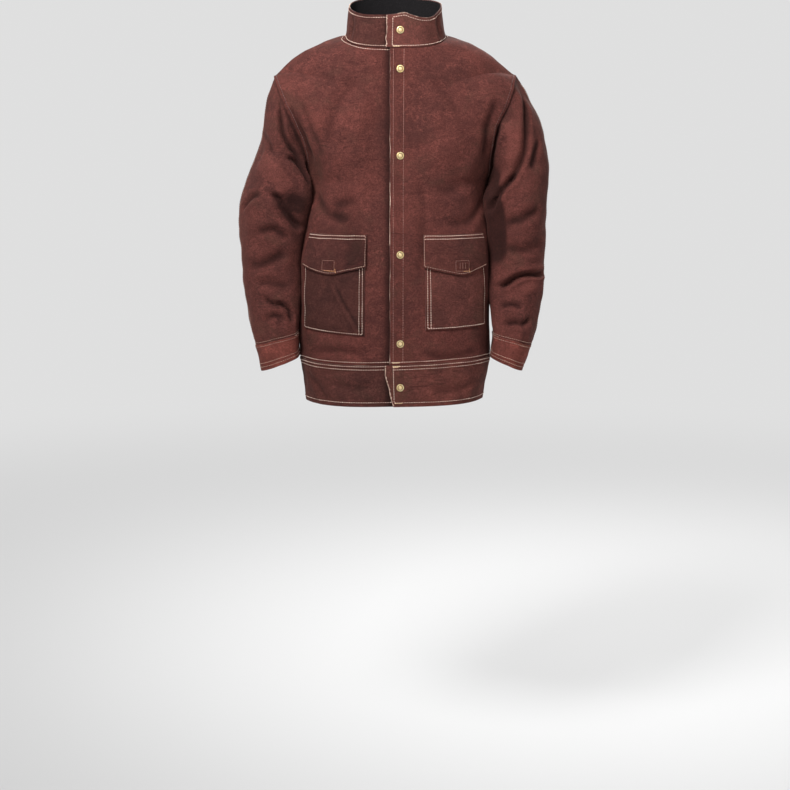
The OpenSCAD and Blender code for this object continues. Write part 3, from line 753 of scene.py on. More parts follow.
def shell(name, outer, normals, thickness, materials, depth=None, grain=(0, 0, 0)):
    """Closed sheet below a grid of outer points. Materials: outer face, inner face, cut edges."""
    rows, cols = outer.shape[:2]
    n = rows * cols
    inner = outer - normals * thickness * MM
    k = np.arange(n).reshape(rows, cols)
    top = quads(k[:-1, :-1], k[:-1, 1:], k[1:, 1:], k[1:, :-1])
    bottom = n + top[:, ::-1]
    rim = np.concatenate([
        quads(n + k[0, :-1], n + k[0, 1:], k[0, 1:], k[0, :-1]),
        quads(k[-1, :-1], k[-1, 1:], n + k[-1, 1:], n + k[-1, :-1]),
        quads(k[:-1, 0], k[1:, 0], n + k[1:, 0], n + k[:-1, 0]),
        quads(n + k[:-1, -1], n + k[1:, -1], k[1:, -1], k[:-1, -1]),
    ])
    faces = np.concatenate([top, bottom, rim])
    slots = np.repeat([0, 1, 2], [len(top), len(bottom), len(rim)])
    vertices = np.concatenate([outer.reshape(-1, 3), inner.reshape(-1, 3)])
    obj = new_object(name, vertices, faces, materials, slots)
    obj.data.set_sharp_from_angle(angle=SHARP_EDGE)
    write_attribute(obj, "grain", "FLOAT_VECTOR", vertices + np.array(grain))
    fold_depth = np.zeros(n) if depth is None else depth.ravel()
    write_attribute(obj, "fold", "FLOAT", np.concatenate([fold_depth, fold_depth]))
    return obj


def sample(parts, depth=0.0):
    """Joins grids read from several hides: parts are (hide, rows, columns); rows go upwards and
    columns to the right as seen from outside. Returns points, normals, folds and the plain shape."""
    found = []
    for number, (hide, v, u) in enumerate(parts):
        vv, uu = np.broadcast_arrays(v if np.ndim(v) == 2 else np.asarray(v)[:, None], u)
        if number:
            vv, uu = vv[:, 1:], uu[:, 1:]
        point, normal, fold_depth = hide.at(vv, uu, -depth)
        found.append((point, normal, fold_depth, hide.plain.at(vv, uu)[0]))
    return [np.concatenate(group, axis=1) for group in zip(*found)]


def make_hide(name, parts, thickness, materials, depth=0.0, grain=(0, 0, 0)):
    """A sheet read depth millimetres below its hides."""
    outer, normals, folds, flat = sample(parts, depth)
    obj = shell(name, outer, normals, thickness, materials, folds, grain)
    return obj


def on_body(obj, body, cad):
    """The piece moves with one body and stands for one CAD part."""
    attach(obj, body)
    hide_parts(cad)


# --- materials ---------------------------------------------------------------

def node(tree, kind, **settings):
    """A new node with its properties and inputs set; in their names _ stands for a space."""
    made = tree.nodes.new(kind)
    for key, value in settings.items():
        if hasattr(made, key):
            setattr(made, key, value)
        else:
            made.inputs[key.replace("_", " ")].default_value = value
    return made


def attribute(tree, name):
    made = tree.nodes.new("ShaderNodeAttribute")
    made.attribute_name = name
    return made


def mottle(tree, source, scale, detail, stretch=(1, 1, 1), roughness=0.6, distortion=0.0):
    """Noise over the garment's own coordinates, as a value from 0 to 1."""
    place = node(tree, "ShaderNodeMapping")
    place.inputs["Scale"].default_value = stretch
    tree.links.new(source, place.inputs["Vector"])
    made = node(tree, "ShaderNodeTexNoise", Scale=scale, Detail=detail, Roughness=roughness,
                Distortion=distortion)
    tree.links.new(place.outputs["Vector"], made.inputs["Vector"])
    return made.outputs["Fac"]


def spread(tree, value, low, high, to_low=0.0, to_high=1.0):
    """Maps low..high of a value to to_low..to_high, clamped."""
    made = node(tree, "ShaderNodeMapRange")
    made.interpolation_type = "SMOOTHSTEP"
    for key, number in (("From Min", low), ("From Max", high),
                        ("To Min", to_low), ("To Max", to_high)):
        made.inputs[key].default_value = number
    tree.links.new(value, made.inputs["Value"])
    return made.outputs["Result"]


def mix(tree, factor, a, b):
    """Colour a where the factor is 0 and b where it is 1; each may be a socket or plain values."""
    made = node(tree, "ShaderNodeMix", data_type="RGBA")
    for socket, value in ((0, factor), (6, a), (7, b)):
        if isinstance(value, bpy.types.NodeSocket):
            tree.links.new(value, made.inputs[socket])
        elif socket:
            made.inputs[socket].default_value = (*value, 1)
        else:
            made.inputs[socket].default_value = value
    return made.outputs[2]


def maths(tree, operation, a, b=None):
    made = node(tree, "ShaderNodeMath", operation=operation)
    for socket, value in zip(made.inputs, (a, b)):
        if isinstance(value, bpy.types.NodeSocket):
            tree.links.new(value, socket)
        elif value is not None:
            socket.default_value = value
    return made.outputs[0]


def bump(tree, height, distance, strength, normal=None):
    made = node(tree, "ShaderNodeBump", Strength=strength, Distance=distance)
    tree.links.new(height, made.inputs["Height"])
    if normal is not None:
        tree.links.new(normal, made.inputs["Normal"])
    return made.outputs["Normal"]


def new_material(name):
    material = bpy.data.materials.new(name)
    material.use_nodes = True
    tree = material.node_tree
    return material, tree, tree.nodes["Principled BSDF"]


def dress(tree, shader, colour, normal, **settings):
    """Gives the shader its colour, its bumps, and plain values such as Roughness=0.9."""
    tree.links.new(colour, shader.inputs["Base Color"])
    tree.links.new(normal, shader.inputs["Normal"])
    for key, value in settings.items():
        shader.inputs[key.replace("_", " ")].default_value = value


def veins(tree, source, scale, width, stretch):
    """Thin wandering lines, 1 on a line and 0 away from it."""
    value = mottle(tree, source, scale, 3, stretch, 0.55, 1.1)
    distance = maths(tree, "ABSOLUTE", maths(tree, "SUBTRACT", value, 0.5))
    return spread(tree, distance, 0.0, width, 1.0, 0.0)


def scaled(colour, factor):
    return tuple(c * factor for c in colour)


def suede_creases(tree, grain):
    """Fine lines in the hide, shown only in places."""
    crease = veins(tree, grain, 15, 0.014, (0.5, 0.5, 1.5))
    fine_crease = veins(tree, grain, 46, 0.018, (0.55, 0.55, 1.3))
    lines = maths(tree, "MAXIMUM", crease, spread(tree, fine_crease, 0, 1, 0, 0.5))
    places = spread(tree, mottle(tree, grain, 11, 2), 0.42, 0.62, 0.0, 0.55)
    return maths(tree, "MULTIPLY", lines, places)


def suede_colour(tree, grain, mid, creases, fibre):
    """Dye in clouds, streaks and specks round a middle colour, then dirt, painted shade in the creases
    and in the folds' valleys, and lighter fold ridges.
    """
    dark = (mid[0] * 0.655, mid[1] * 0.72, mid[2] * 0.755)
    light = scaled(mid, 1.56)
    brown = (mid[0] * 0.72, mid[1] * 1.02, mid[2] * 0.92)
    cloud = spread(tree, mottle(tree, grain, 8, 4, (1, 1, 0.8), 0.62, 0.5), 0.34, 0.66)
    streak = spread(tree, mottle(tree, grain, 34, 5, (0.85, 0.85, 1.1), 0.7, 1.2), 0.36, 0.68)
    speck = spread(tree, mottle(tree, grain, 230, 3, (0.8, 0.8, 1), 0.75), 0.33, 0.68)
    colour = mix(tree, cloud, dark, mid)
    colour = mix(tree, maths(tree, "MULTIPLY", streak, speck), colour, light)
    # Some of the hide took the dye browner, and it is dirtier in spots
    browner = spread(tree, mottle(tree, grain, 14, 3, (1, 1, 1.3), 0.6, 0.8), 0.5, 0.72, 0.0, 0.55)
    colour = mix(tree, browner, colour, brown)
    spots = spread(tree, mottle(tree, grain, 60, 3, (0.8, 0.8, 1), 0.6, 0.8), 0.54, 0.72, 0.0, 0.6)
    colour = mix(tree, spots, colour, dark)
    # Painted shade in the fine creases
    colour = mix(tree, creases, colour, scaled(dark, 0.5))
    fold_depth = attribute(tree, "fold").outputs["Fac"]
    # Painted shade in the folds' valleys, and lighter fold ridges
    colour = mix(tree, spread(tree, fold_depth, -0.1, -1.3, 0.0, 0.85), colour, scaled(dark, 0.3))
    colour = mix(tree, spread(tree, fold_depth, 0.12, 0.6, 0.0, 0.45), colour, light)
    tint = node(tree, "ShaderNodeVectorMath", operation="SCALE")
    tree.links.new(colour, tint.inputs[0])
    tree.links.new(spread(tree, fibre, 0.3, 0.7, 0.68, 1.28), tint.inputs["Scale"])
    return tint.outputs["Vector"]


def suede(name, mid, nap=1.0):
    """Split leather: cloudy dye, soft streaks, fine creases and a short nap, with painted shade in
    its folds and creases and lighter fold ridges."""
    material, tree, shader = new_material(name)
    grain = attribute(tree, "grain").outputs["Vector"]
    fibre = mottle(tree, grain, 520, 3, (0.8, 0.8, 1), 0.7)
    creases = suede_creases(tree, grain)
    colour = suede_colour(tree, grain, mid, creases, fibre)
    normal = bump(tree, mottle(tree, grain, 95, 4), 0.0011, 0.55 * nap)
    normal = bump(tree, spread(tree, creases, 0, 1, 1, 0), 0.0008, 0.5, normal)
    normal = bump(tree, mottle(tree, grain, 300, 3, roughness=0.65), 0.0005, 0.6 * nap, normal)
    normal = bump(tree, fibre, 0.00025, 0.55 * nap, normal)
    dress(tree, shader, colour, normal, Roughness=0.92, Specular_IOR_Level=0.1, Sheen_Weight=0.04,
          Sheen_Roughness=0.5, Sheen_Tint=(0.9, 0.42, 0.34, 1))
    return material


def raw_edge(name, dyed_to, bare_from):
    """The cut edge of the hide: dyed through where a noise is low, bare pale fibre where it is high."""
    material, tree, shader = new_material(name)
    grain = attribute(tree, "grain").outputs["Vector"]
    fuzz = spread(tree, mottle(tree, grain, 420, 3), 0.35, 0.7)
    patches = spread(tree, mottle(tree, grain, 15, 3), dyed_to, bare_from)
    colour = mix(tree, fuzz, (0.32, 0.20, 0.15), (0.58, 0.43, 0.35))
    colour = mix(tree, patches, (0.07, 0.030, 0.024), colour)
    dress(tree, shader, colour, bump(tree, fuzz, 0.0004, 0.7), Roughness=0.95)
    return material


def slanted_waves(tree, source, **settings):
    made = node(tree, "ShaderNodeTexWave", bands_direction="DIAGONAL", **settings)
    tree.links.new(source, made.inputs["Vector"])
    return made.outputs["Fac"]


def lining():
    """Dark twill: fine diagonal ribs over a cotton weave. Its near-black colour is partly the cloth's
    own and partly painted shade for the collar's shaded inside.
    """
    material, tree, shader = new_material("dark_twill_with_painted_shade")
    grain = attribute(tree, "grain").outputs["Vector"]
    rib = slanted_waves(tree, grain, Scale=260, Distortion=1.2, Detail=2)
    lint = spread(tree, mottle(tree, grain, 900, 2), 0.55, 0.75)
    # Near-black colours: the twill's own dark dye, darkened further as painted shade
    colour = mix(tree, rib, (0.0025, 0.0022, 0.0026), (0.0075, 0.0064, 0.0070))
    colour = mix(tree, lint, colour, (0.020, 0.017, 0.018))
    dress(tree, shader, colour, bump(tree, rib, 0.0003, 0.6), Roughness=0.92, Specular_IOR_Level=0.15)
    return material


def thread(name, pale, dull):
    """Heavy twisted thread: a slanting twist along each stitch, dusty in places."""
    material, tree, shader = new_material(name)
    grain = attribute(tree, "grain").outputs["Vector"]
    twist = slanted_waves(tree, grain, Scale=520, Distortion=0.6)
    dust = spread(tree, mottle(tree, grain, 22, 3), 0.4, 0.66)
    colour = mix(tree, dust, pale, dull)
    colour = mix(tree, spread(tree, twist, 0.0, 0.6, 0.35, 0.0), colour, dull)
    dress(tree, shader, colour, bump(tree, twist, 0.0003, 0.7), Roughness=0.62, Sheen_Weight=0.1)
    return material


def cap_places(obj):
    """Centre of each snap cap's face, and the caps' radius, from the frame's own part."""
    points = np.array([v.co for v in obj.data.vertices])
    points = points[np.argsort(points[:, 2])]
    groups = np.split(points, np.nonzero(np.diff(points[:, 2]) > 10 * MM)[0] + 1)
    lows, highs = (np.array([pick(g, axis=0) for g in groups]) for pick in (np.min, np.max))
    centres = (lows + highs) / 2
    centres[:, 1] = lows[:, 1]
    return centres, float(np.ptp(groups[0][:, 0])) / 2


def pressed_rings(tree, coords, centres, radius):
    """1 in the two dark rings round each centre, as (starts, full, ends, gone) shares of the radius: the
    pressed groove, tarnished and darkened with painted shade, and painted shade round the cap's rim.
    """
    nearest = 10.0
    for centre in centres:
        away = node(tree, "ShaderNodeVectorMath", operation="DISTANCE")
        tree.links.new(coords, away.inputs[0])
        away.inputs[1].default_value = centre
        nearest = maths(tree, "MINIMUM", nearest, away.outputs["Value"])
    rings = 0.0
    for start, full, end, gone in ((0.48, 0.57, 0.64, 0.74), (0.86, 0.96, 2.0, 2.1)):
        rising = spread(tree, nearest, start * radius, full * radius)
        falling = spread(tree, nearest, end * radius, gone * radius, 1, 0)
        rings = maths(tree, "MAXIMUM", rings, maths(tree, "MULTIPLY", rising, falling))
    return rings


def brass(name, centres=(), radius=1.0):
    """Pressed brass, brushed bright, dulled at random, with painted shade in the rings round each centre
    and some tarnish in the inner one.
    """
    material, tree, shader = new_material(name)
    coords = node(tree, "ShaderNodeTexCoord").outputs["Object"]
    tarnish = spread(tree, mottle(tree, coords, 260, 4), 0.38, 0.66)
    colour = mix(tree, tarnish, (0.92, 0.76, 0.46), (0.62, 0.44, 0.19))
    if len(centres):
        # Painted shade in the groove and at the rim of each cap, over some tarnish in the groove
        colour = mix(tree, pressed_rings(tree, coords, centres, radius), colour, (0.10, 0.058, 0.016))
    scratches = mottle(tree, coords, 1800, 2, (1, 1, 0.1))
    dress(tree, shader, colour, bump(tree, scratches, 0.0001, 0.35), Metallic=1)
    tree.links.new(spread(tree, tarnish, 0, 1, 0.26, 0.5), shader.inputs["Roughness"])
    return material


def tape():
    """Hook-and-loop tape: a dense fuzz of small loops."""
    material, tree, shader = new_material("hook_and_loop_tape")
    grain = attribute(tree, "grain").outputs["Vector"]
    loops = node(tree, "ShaderNodeTexVoronoi", Scale=900)
    tree.links.new(grain, loops.inputs["Vector"])
    fuzz = loops.outputs["Distance"]
    colour = mix(tree, fuzz, (0.012, 0.010, 0.010), (0.05, 0.042, 0.040))
    dress(tree, shader, colour, bump(tree, fuzz, 0.0006, 0.9), Roughness=0.85)
    return material


BODY_SUEDE = suede("body_suede", (0.0706, 0.0207, 0.0166))
SLEEVE_SUEDE = suede("sleeve_suede", (0.0690, 0.0207, 0.0167))
POCKET_SUEDE = suede("pocket_suede", (0.0385, 0.0130, 0.0106))
FLAP_SUEDE = suede("flap_suede", (0.0500, 0.0158, 0.0130))
LEFT_POCKET_SUEDE = suede("left_pocket_suede", (0.0760, 0.0236, 0.0188))
LEFT_FLAP_SUEDE = suede("left_flap_suede", (0.0660, 0.0204, 0.0163))
BAND_SUEDE = suede("band_suede", (0.0560, 0.0183, 0.0148))
LEFT_BAND_SUEDE = suede("left_band_suede", (0.0850, 0.0262, 0.0206))
COLLAR_SUEDE = suede("collar_suede", (0.0500, 0.0164, 0.0131))
LEFT_COLLAR_SUEDE = suede("left_collar_suede", (0.0800, 0.0252, 0.0200))
CUFF_SUEDE = suede("cuff_suede", (0.1180, 0.0318, 0.0242))
FLESH_SUEDE = suede("flesh_side_suede", (0.085, 0.040, 0.034), 1.3)
RAW_EDGE = raw_edge("raw_leather_edge", 0.50, 0.62)
BARE_EDGE = raw_edge("bare_leather_edge", 0.26, 0.44)
LINING = lining()
THREAD = thread("pale_thread", (0.70, 0.52, 0.42), (0.40, 0.25, 0.20))
CUFF_THREAD = thread("cuff_thread", (0.44, 0.27, 0.20), (0.24, 0.125, 0.095))
PLACKET_THREAD = thread("placket_thread", (0.36, 0.17, 0.13), (0.17, 0.068, 0.054))
DARK_THREAD = thread("tonal_thread", (0.085, 0.036, 0.030), (0.050, 0.022, 0.019))
RUST_THREAD = thread("rust_thread", (0.26, 0.10, 0.06), (0.15, 0.060, 0.042))
TACK_THREAD = thread("tack_thread", (0.80, 0.62, 0.36), (0.56, 0.38, 0.20))
AMBER_THREAD = thread("amber_thread", (0.72, 0.36, 0.12), (0.50, 0.22, 0.08))
BRASS = brass("worn_brass")
CAP_BRASS = brass("snap_cap_brass", *cap_places(frame["nodes"]["snap_caps"]))
TAPE = tape()

FACING_SIDES = [FLESH_SUEDE, FLESH_SUEDE, RAW_EDGE]
UNDER = LEATHER + LAYER_GAP


def leather(outer):
    return [outer, FLESH_SUEDE, RAW_EDGE]


# --- the body's hides --------------------------------------------------------

# Over what distance an edge laps, and how high each edge stands or how low it tucks, in millimetres
SEAM_LAP = 12.0
BODY_LAP, BODY_COLLAR_TUCK, BODY_WAIST_TUCK = 2.1, 0.8, 0.7
COLLAR_LAP, BAND_LAP = 1.1, 1.0
SLEEVE_TUCK, SLEEVE_CUFF_TUCK, SLEEVE_OUTER_LAP, CUFF_LAP = 0.15, 0.6, 0.9, 0.9
# Extra rows and columns close to an edge
FINE_V = (0.0016, 0.006, 0.014)
FINE_U = (0.003, 0.010, 0.022)


def lap(distance, height):
    """Height of a lapping edge: proud where it lies on the next piece, level further in."""
    return height * smooth(1 - distance / SEAM_LAP)


def body_rise(v, u):
    """The body laps over the sleeves at the armholes and tucks under the collar and the band."""
    from_edge = (1 - np.abs(u)) * PANEL_W
    in_armhole = smooth((v - 0.95) / 0.1) * smooth((2.05 - v) / 0.1)
    tucked = lap((3 - v) * 100, BODY_COLLAR_TUCK) + lap(v * TRUNK_H, BODY_WAIST_TUCK)
    return in_armhole * lap(from_edge, BODY_LAP) - tucked


LEFT_FRONT, RIGHT_FRONT, BACK_HIDE = (
    Hide(surface, body_rise) for surface in ("left_front", "right_front", "back"))


def on_overlap(obj, slot, *nodes):
    """Fixes the piece's placement into its mesh and hides the CAD parts that it stands for."""
    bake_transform(obj)
    if nodes:
        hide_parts(*nodes)


def wavy(values, seed, amount, scale=9.0):
    """A hand-cut edge: small slow wander for each value."""
    return np.array([noise.noise(Vector((seed, value * scale, 0.5))) for value in values]) * amount


def placket_wander(rows):
    return wavy(rows, 4.2, 0.03)


BODY_V = edged(0.0012, 2.995, ROWS, FINE_V)


def make_body():
    edge = front_u(-PLACKET_EDGE)
    cols = edged(edge, 0.9995, FRONT_COLS, FINE_U)
    wander = placket_wander(BODY_V)[:, None] * smooth((edge + 0.35 - cols) / 0.35)[None]
    left = make_hide("left_front_hide", [(LEFT_FRONT, BODY_V, cols[None] + wander)], LEATHER,
                     leather(BODY_SUEDE))
    on_overlap(left, "body_leather", "left_front_panel", "placket")
    for name, hide, ends, table, grain in (
        ("right_front", RIGHT_FRONT, (0.9995, -1), FRONT_COLS, (0.7, 0, 0)),
        ("back", BACK_HIDE, (0.9995, -0.9995), BACK_COLS, (0, 0.9, 0)),
    ):
        obj = make_hide(name + "_hide", [(hide, BODY_V, edged(*ends, table, FINE_U))], LEATHER,
                        leather(BODY_SUEDE), grain=grain)
        on_body(obj, "torso", name + "_panel")
    cols = np.linspace(edge, front_u(FOLD_X - 0.4), 9)
    facing = make_hide("placket_facing_hide", [(LEFT_FRONT, BODY_V, cols)], FACING,
                       FACING_SIDES, UNDER, (0.2, 0.4, 0))
    on_overlap(facing, "facing_leather", "placket_facing")
    cols = np.linspace(-0.25, -1, 9)
    facing = make_hide("right_front_facing_hide", [(RIGHT_FRONT, BODY_V, cols)], FACING,
                       FACING_SIDES, UNDER, (0.3, 0.5, 0))
    on_body(facing, "torso", "right_front_facing")


# --- collar and hem band -----------------------------------------------------

def collar_rise(v, u):
    return lap((v - 3) * COLLAR_H, COLLAR_LAP) + 0.0 * u


def band_rise(v, u):
    return lap(-v * BAND_H, BAND_LAP) + 0.0 * u


COLLAR_LEFT, COLLAR_RIGHT, COLLAR_BACK, BAND_LEFT, BAND_RIGHT, BAND_BACK = (
    Hide(surface, rise) for rise in (collar_rise, band_rise)
    for surface in ("left_front", "right_front", "back"))

# The collar's top edge against row 4, by column: up at the overlap's corner, and a dip beside it
COLLAR_TOP_LEFT = [(-1, 0.12), (-0.6, 0.16), (-0.1, 0.20), (0.25, 0.0),
                   (0.45, -0.05), (0.75, 0.03), (1, 0.06)]
COLLAR_TOP_RIGHT = [(-1, 0.12), (0, 0.14), (0.4, 0.08), (1, 0.03)]
COLLAR_TOP_BACK = [(-1, 0.03), (-0.5, 0.06), (0.1, 0.02), (0.6, 0.05), (1, 0.06)]
COLLAR_FOOT = 3.008


def collar_top(table, cols):
    return np.array([4 + float(spline(table, u)) for u in cols])


def collar_rows(table, cols, top_drop=0.0):
    """Rows of the collar for each column, up to its own top edge."""
    share = np.array([0, 0.012, 0.05, 0.12, *np.arange(2, 9) / 10, 0.88, 0.94, 0.975, 1])
    top = collar_top(table, cols) - top_drop
    return COLLAR_FOOT + share[:, None] * (top - COLLAR_FOOT)[None]


def collar_wander(rows):
    return wavy(rows, 8.1, 0.05, 6)


def make_collar():
    left_u = edged(front_u(-COLLAR_EDGE), 1, FRONT_COLS, FINE_U)
    right_u = edged(1, -1, FRONT_COLS, FINE_U)
    back_u = edged(1, -1, BACK_COLS, FINE_U)

    def left_parts(drop):
        rows = collar_rows(COLLAR_TOP_LEFT, left_u, drop)
        wander = collar_wander(rows[:, 0])[:, None] * smooth((front_u(-4) - left_u) / 0.3)[None]
        return [(COLLAR_LEFT, rows, left_u[None] + wander)]

    def ring_parts(drop):
        return [(COLLAR_BACK, collar_rows(COLLAR_TOP_BACK, back_u, drop), back_u[None]),
                (COLLAR_RIGHT, collar_rows(COLLAR_TOP_RIGHT, right_u, drop), right_u[None])]

    grain = (0.1, 0.2, 0.3)
    left = make_hide("collar_left_hide", left_parts(0), LEATHER, leather(LEFT_COLLAR_SUEDE),
                     grain=grain)
    on_overlap(left, "collar_leather", "collar_end")
    ring = make_hide("collar_hide", ring_parts(0), LEATHER, leather(COLLAR_SUEDE),
                     grain=grain)
    on_body(ring, "torso", "collar")
    # The lining ends just below the leather's top edge
    cloth, drop, grain = [LINING] * 3, 0.03, (0.4, 0.2, 0.3)
    left = make_hide("collar_left_lining", left_parts(drop), FACING, cloth,
                     UNDER, grain)
    on_overlap(left, "lining", "collar_end_lining")
    ring = make_hide("collar_ring_lining", ring_parts(drop), FACING, cloth,
                     UNDER, grain)
    on_body(ring, "torso", "collar_lining")


def band_end(rows):
    """Column of the band's slanted, hand-cut end by row."""
    slant = np.interp(rows, [-1, -0.22, 0], [front_u(-BAND_EDGE_BOTTOM), -1, -1])
    return slant + wavy(rows, 2.5, 0.03, 7)


def make_band():
    rows = edged(-1, -0.004, ROWS, (0.02, 0.05))
    left_u = edged(-1, 1, FRONT_COLS, FINE_U)
    end = band_end(rows)[:, None]
    slid = end + (1 - end) * (left_u[None] + 1) / 2
    settled = smooth((left_u + 0.5) / 0.5)[None]
    left_cols = lerp(slid, np.broadcast_to(left_u, slid.shape), settled)
    left_parts = [(BAND_LEFT, rows, left_cols)]
    ring_parts = [(BAND_BACK, rows, edged(1, -1, BACK_COLS, FINE_U)),
                  (BAND_RIGHT, rows, edged(1, -1, FRONT_COLS, FINE_U))]
    for name, parts, materials, thickness, depth, rests_on in (
        ("hem_band_left_hide", left_parts, leather(LEFT_BAND_SUEDE), LEATHER, 0, "left_front_hide"),
        ("hem_band_hide", ring_parts, leather(BAND_SUEDE), LEATHER, 0, "back_hide"),
        ("hem_band_left_facing", left_parts, FACING_SIDES, FACING, UNDER, "hem_band_left_hide"),
        ("hem_band_ring_facing", ring_parts, FACING_SIDES, FACING, UNDER, "hem_band_hide"),
    ):
        obj = make_hide(name, parts, thickness, materials, depth, (0.6, 0.1, 0.2))
        slot = "facing_leather" if depth else "band_leather"
        layer = "_facing" if depth else ""
        if parts is ring_parts:
            on_body(obj, "torso", "hem_band" + layer)
        else:
            on_overlap(obj, slot, "hem_band_end" + layer)


# --- pockets -----------------------------------------------------------------

# Columns of the front between which a pocket lies
POCKET_FROM, POCKET_TO = 0.11, 0.70
POCKET_MIDDLE = (POCKET_FROM + POCKET_TO) / 2
FLAP_TOP_H = 332
POCKET_TOP_H = FLAP_TOP_H - 9
FLAP_MARGIN = 0.01
FLAP_SIDE_H, FLAP_MID_H = 63, 80
TAPE_W_SHARE, TAPE_H, TAPE_MID_H = 0.1, 19, FLAP_TOP_H - 60
POCKET_BOTTOM_H = 147
# How far each pocket's lower edge is sewn above that height, at its inner and its outer corner
POCKET_SKEW = {"left": (4, 8), "right": (-8, 2)}
POCKET_RISE = 0.2 + LEATHER
TAPE_T = 1.1
FLAP_RISE = POCKET_RISE + LAYER_GAP + 2 * TAPE_T + 3 * LAYER_GAP + LEATHER
FLAP_SEAM_RISE = 0.6 + LEATHER


def pocket_share(u):
    return (u - POCKET_FROM) / (POCKET_TO - POCKET_FROM)


def pocket_bottom(side, u):
    """Height of the pocket's lower edge: the two pockets were sewn on unevenly."""
    return POCKET_BOTTOM_H + lerp(*POCKET_SKEW[side], pocket_share(u))


def pocket_shares(v, u):
    """How far along and up the pocket a place lies, each from 0 to 1."""
    h = (v_height(v) - POCKET_BOTTOM_H) / (POCKET_TOP_H - POCKET_BOTTOM_H)
    return np.clip(pocket_share(u), 0, 1), np.clip(h, 0, 1)


def pocket_rise(crease):
    """The pocket lies flat at its sewn edges and stands a little full between them."""
    def rise(v, u):
        s, h = pocket_shares(v, u)
        inside = smooth(np.minimum(s, 1 - s) * 9) * smooth(h * 12) * smooth((0.62 - h) * 5)
        return POCKET_RISE + inside * (1.5 + crease(s, h))
    return rise


def across_crease(s, h):
    """Distance from the line from the flap's tip down to the pocket's lower inner corner."""
    return (s - 0.14) - (h - 0.08) * 0.72


def diagonal_crease(s, h):
    across = across_crease(s, h)
    return 1.6 * np.exp(-(across / 0.03) ** 2) - 1.2 * np.exp(-((across - 0.09) / 0.05) ** 2)


# Painted shading of the right pocket's diagonal crease: lighter along its ridge, painted shade beside it
def crease_shading(v, u):
    s, h = pocket_shares(v, u)
    across = across_crease(s, h)
    lighter_ridge = 1.2 * np.exp(-(across / 0.022) ** 2)
    shaded = 0.9 * np.exp(-((across + 0.05) / 0.035) ** 2)
    return smooth((0.56 - h) * 8) * (lighter_ridge - shaded)


def soft_rumple(s, h):
    return np.sin(9 * s + 5 * h) * np.sin(7 * h + 1.2)


def flap_fall(u):
    """Drop of the flap's lower edge below its seam: a shallow point at the middle."""
    s = (u - POCKET_FROM + FLAP_MARGIN) / (POCKET_TO - POCKET_FROM + 2 * FLAP_MARGIN)
    return lerp(FLAP_MID_H, FLAP_SIDE_H, np.sqrt((2 * s - 1) ** 2 + 0.02) * 0.99)


def flap_rise(v, u):
    down = np.clip((FLAP_TOP_H - v_height(v)) / flap_fall(u), 0, 1)
    s = pocket_share(u)
    return lerp(FLAP_SEAM_RISE, FLAP_RISE, 1 - (1 - down) ** 6) + 0.5 * down * np.sin(7 * s + 0.6)


POCKETS = {"left": Hide("left_front", pocket_rise(soft_rumple)),
           "right": Hide("right_front", pocket_rise(diagonal_crease), crease_shading)}
FLAPS = {side: Hide(f"{side}_front", flap_rise) for side in ("left", "right")}
POCKET_SKINS = {"left": LEFT_POCKET_SUEDE, "right": POCKET_SUEDE}
FLAP_SKINS = {"left": LEFT_FLAP_SUEDE, "right": FLAP_SUEDE}


def flap_blend(obj):
    """Fixes the piece's placement into its mesh."""
    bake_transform(obj)


def make_tape(kind, side, way, hide, body, cad):
    """A patch of hook or loop tape that lies on a hide."""
    half_u = TAPE_W_SHARE / 2
    cols = np.linspace(POCKET_MIDDLE - half_u, POCKET_MIDDLE + half_u, 14)[::way]
    rows = height_v(np.linspace(TAPE_MID_H - TAPE_H / 2, TAPE_MID_H + TAPE_H / 2, 12))
    points, normals, folds, _ = sample([(hide, rows, cols)])
    obj = shell(f"{side}_{kind}_tape", points, normals, TAPE_T, [TAPE] * 3, folds)
    on_body(obj, body, cad)


def make_pocket(side, way):
    pocket, flap = POCKETS[side], FLAPS[side]
    cols = np.linspace(POCKET_FROM, POCKET_TO, 46)[::way]
    bottom = pocket_bottom(side, cols)[None]
    rows = height_v(bottom + np.linspace(0, 1, 58)[:, None] * (POCKET_TOP_H - bottom))
    obj = make_hide(f"{side}_pocket_hide", [(pocket, rows, cols)], LEATHER,
                    leather(POCKET_SKINS[side]), grain=(0.35 * way, 0.3, 0.1))
    on_body(obj, "torso", f"{side}_pocket")
    down = np.array([1, 0.985, 0.96, *np.linspace(0.92, 0.04, 24), 0.0])
    cols = np.linspace(POCKET_FROM - FLAP_MARGIN, POCKET_TO + FLAP_MARGIN, 48)[::way]
    rows = height_v(FLAP_TOP_H - flap_fall(cols)[None] * down[:, None])
    obj = make_hide(f"{side}_flap_hide", [(flap, rows, cols)], LEATHER,
                    leather(FLAP_SKINS[side]), grain=(0.35 * way, 0.5, 0.1))
    flap_blend(obj)
    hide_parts(f"{side}_pocket_flap")
    on_pocket = Hide(f"{side}_front", lambda v, u: pocket.rise(v, u) + TAPE_T + LAYER_GAP)
    under_flap = Hide(f"{side}_front", lambda v, u: flap.rise(v, u) - UNDER)
    make_tape("loop", side, way, on_pocket, "torso", f"{side}_pocket_loop_tape")
    make_tape("hook", side, way, under_flap, f"{side}_pocket_flap", f"{side}_flap_hook_tape")


# --- sleeves -----------------------------------------------------------------

ARM_MID_X = (SHOULDER_HALF_W + CHEST_HALF_W) / 2
ARM_MID_Z = HEM_Z + (SHOULDER_H + UNDERARM_H) / 2


def sleeve_blend(obj, way):
    """Fixes the piece's placement into its mesh."""
    start = (ARM_MID_X * way * MM, 0, ARM_MID_Z * MM)
    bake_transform(obj)


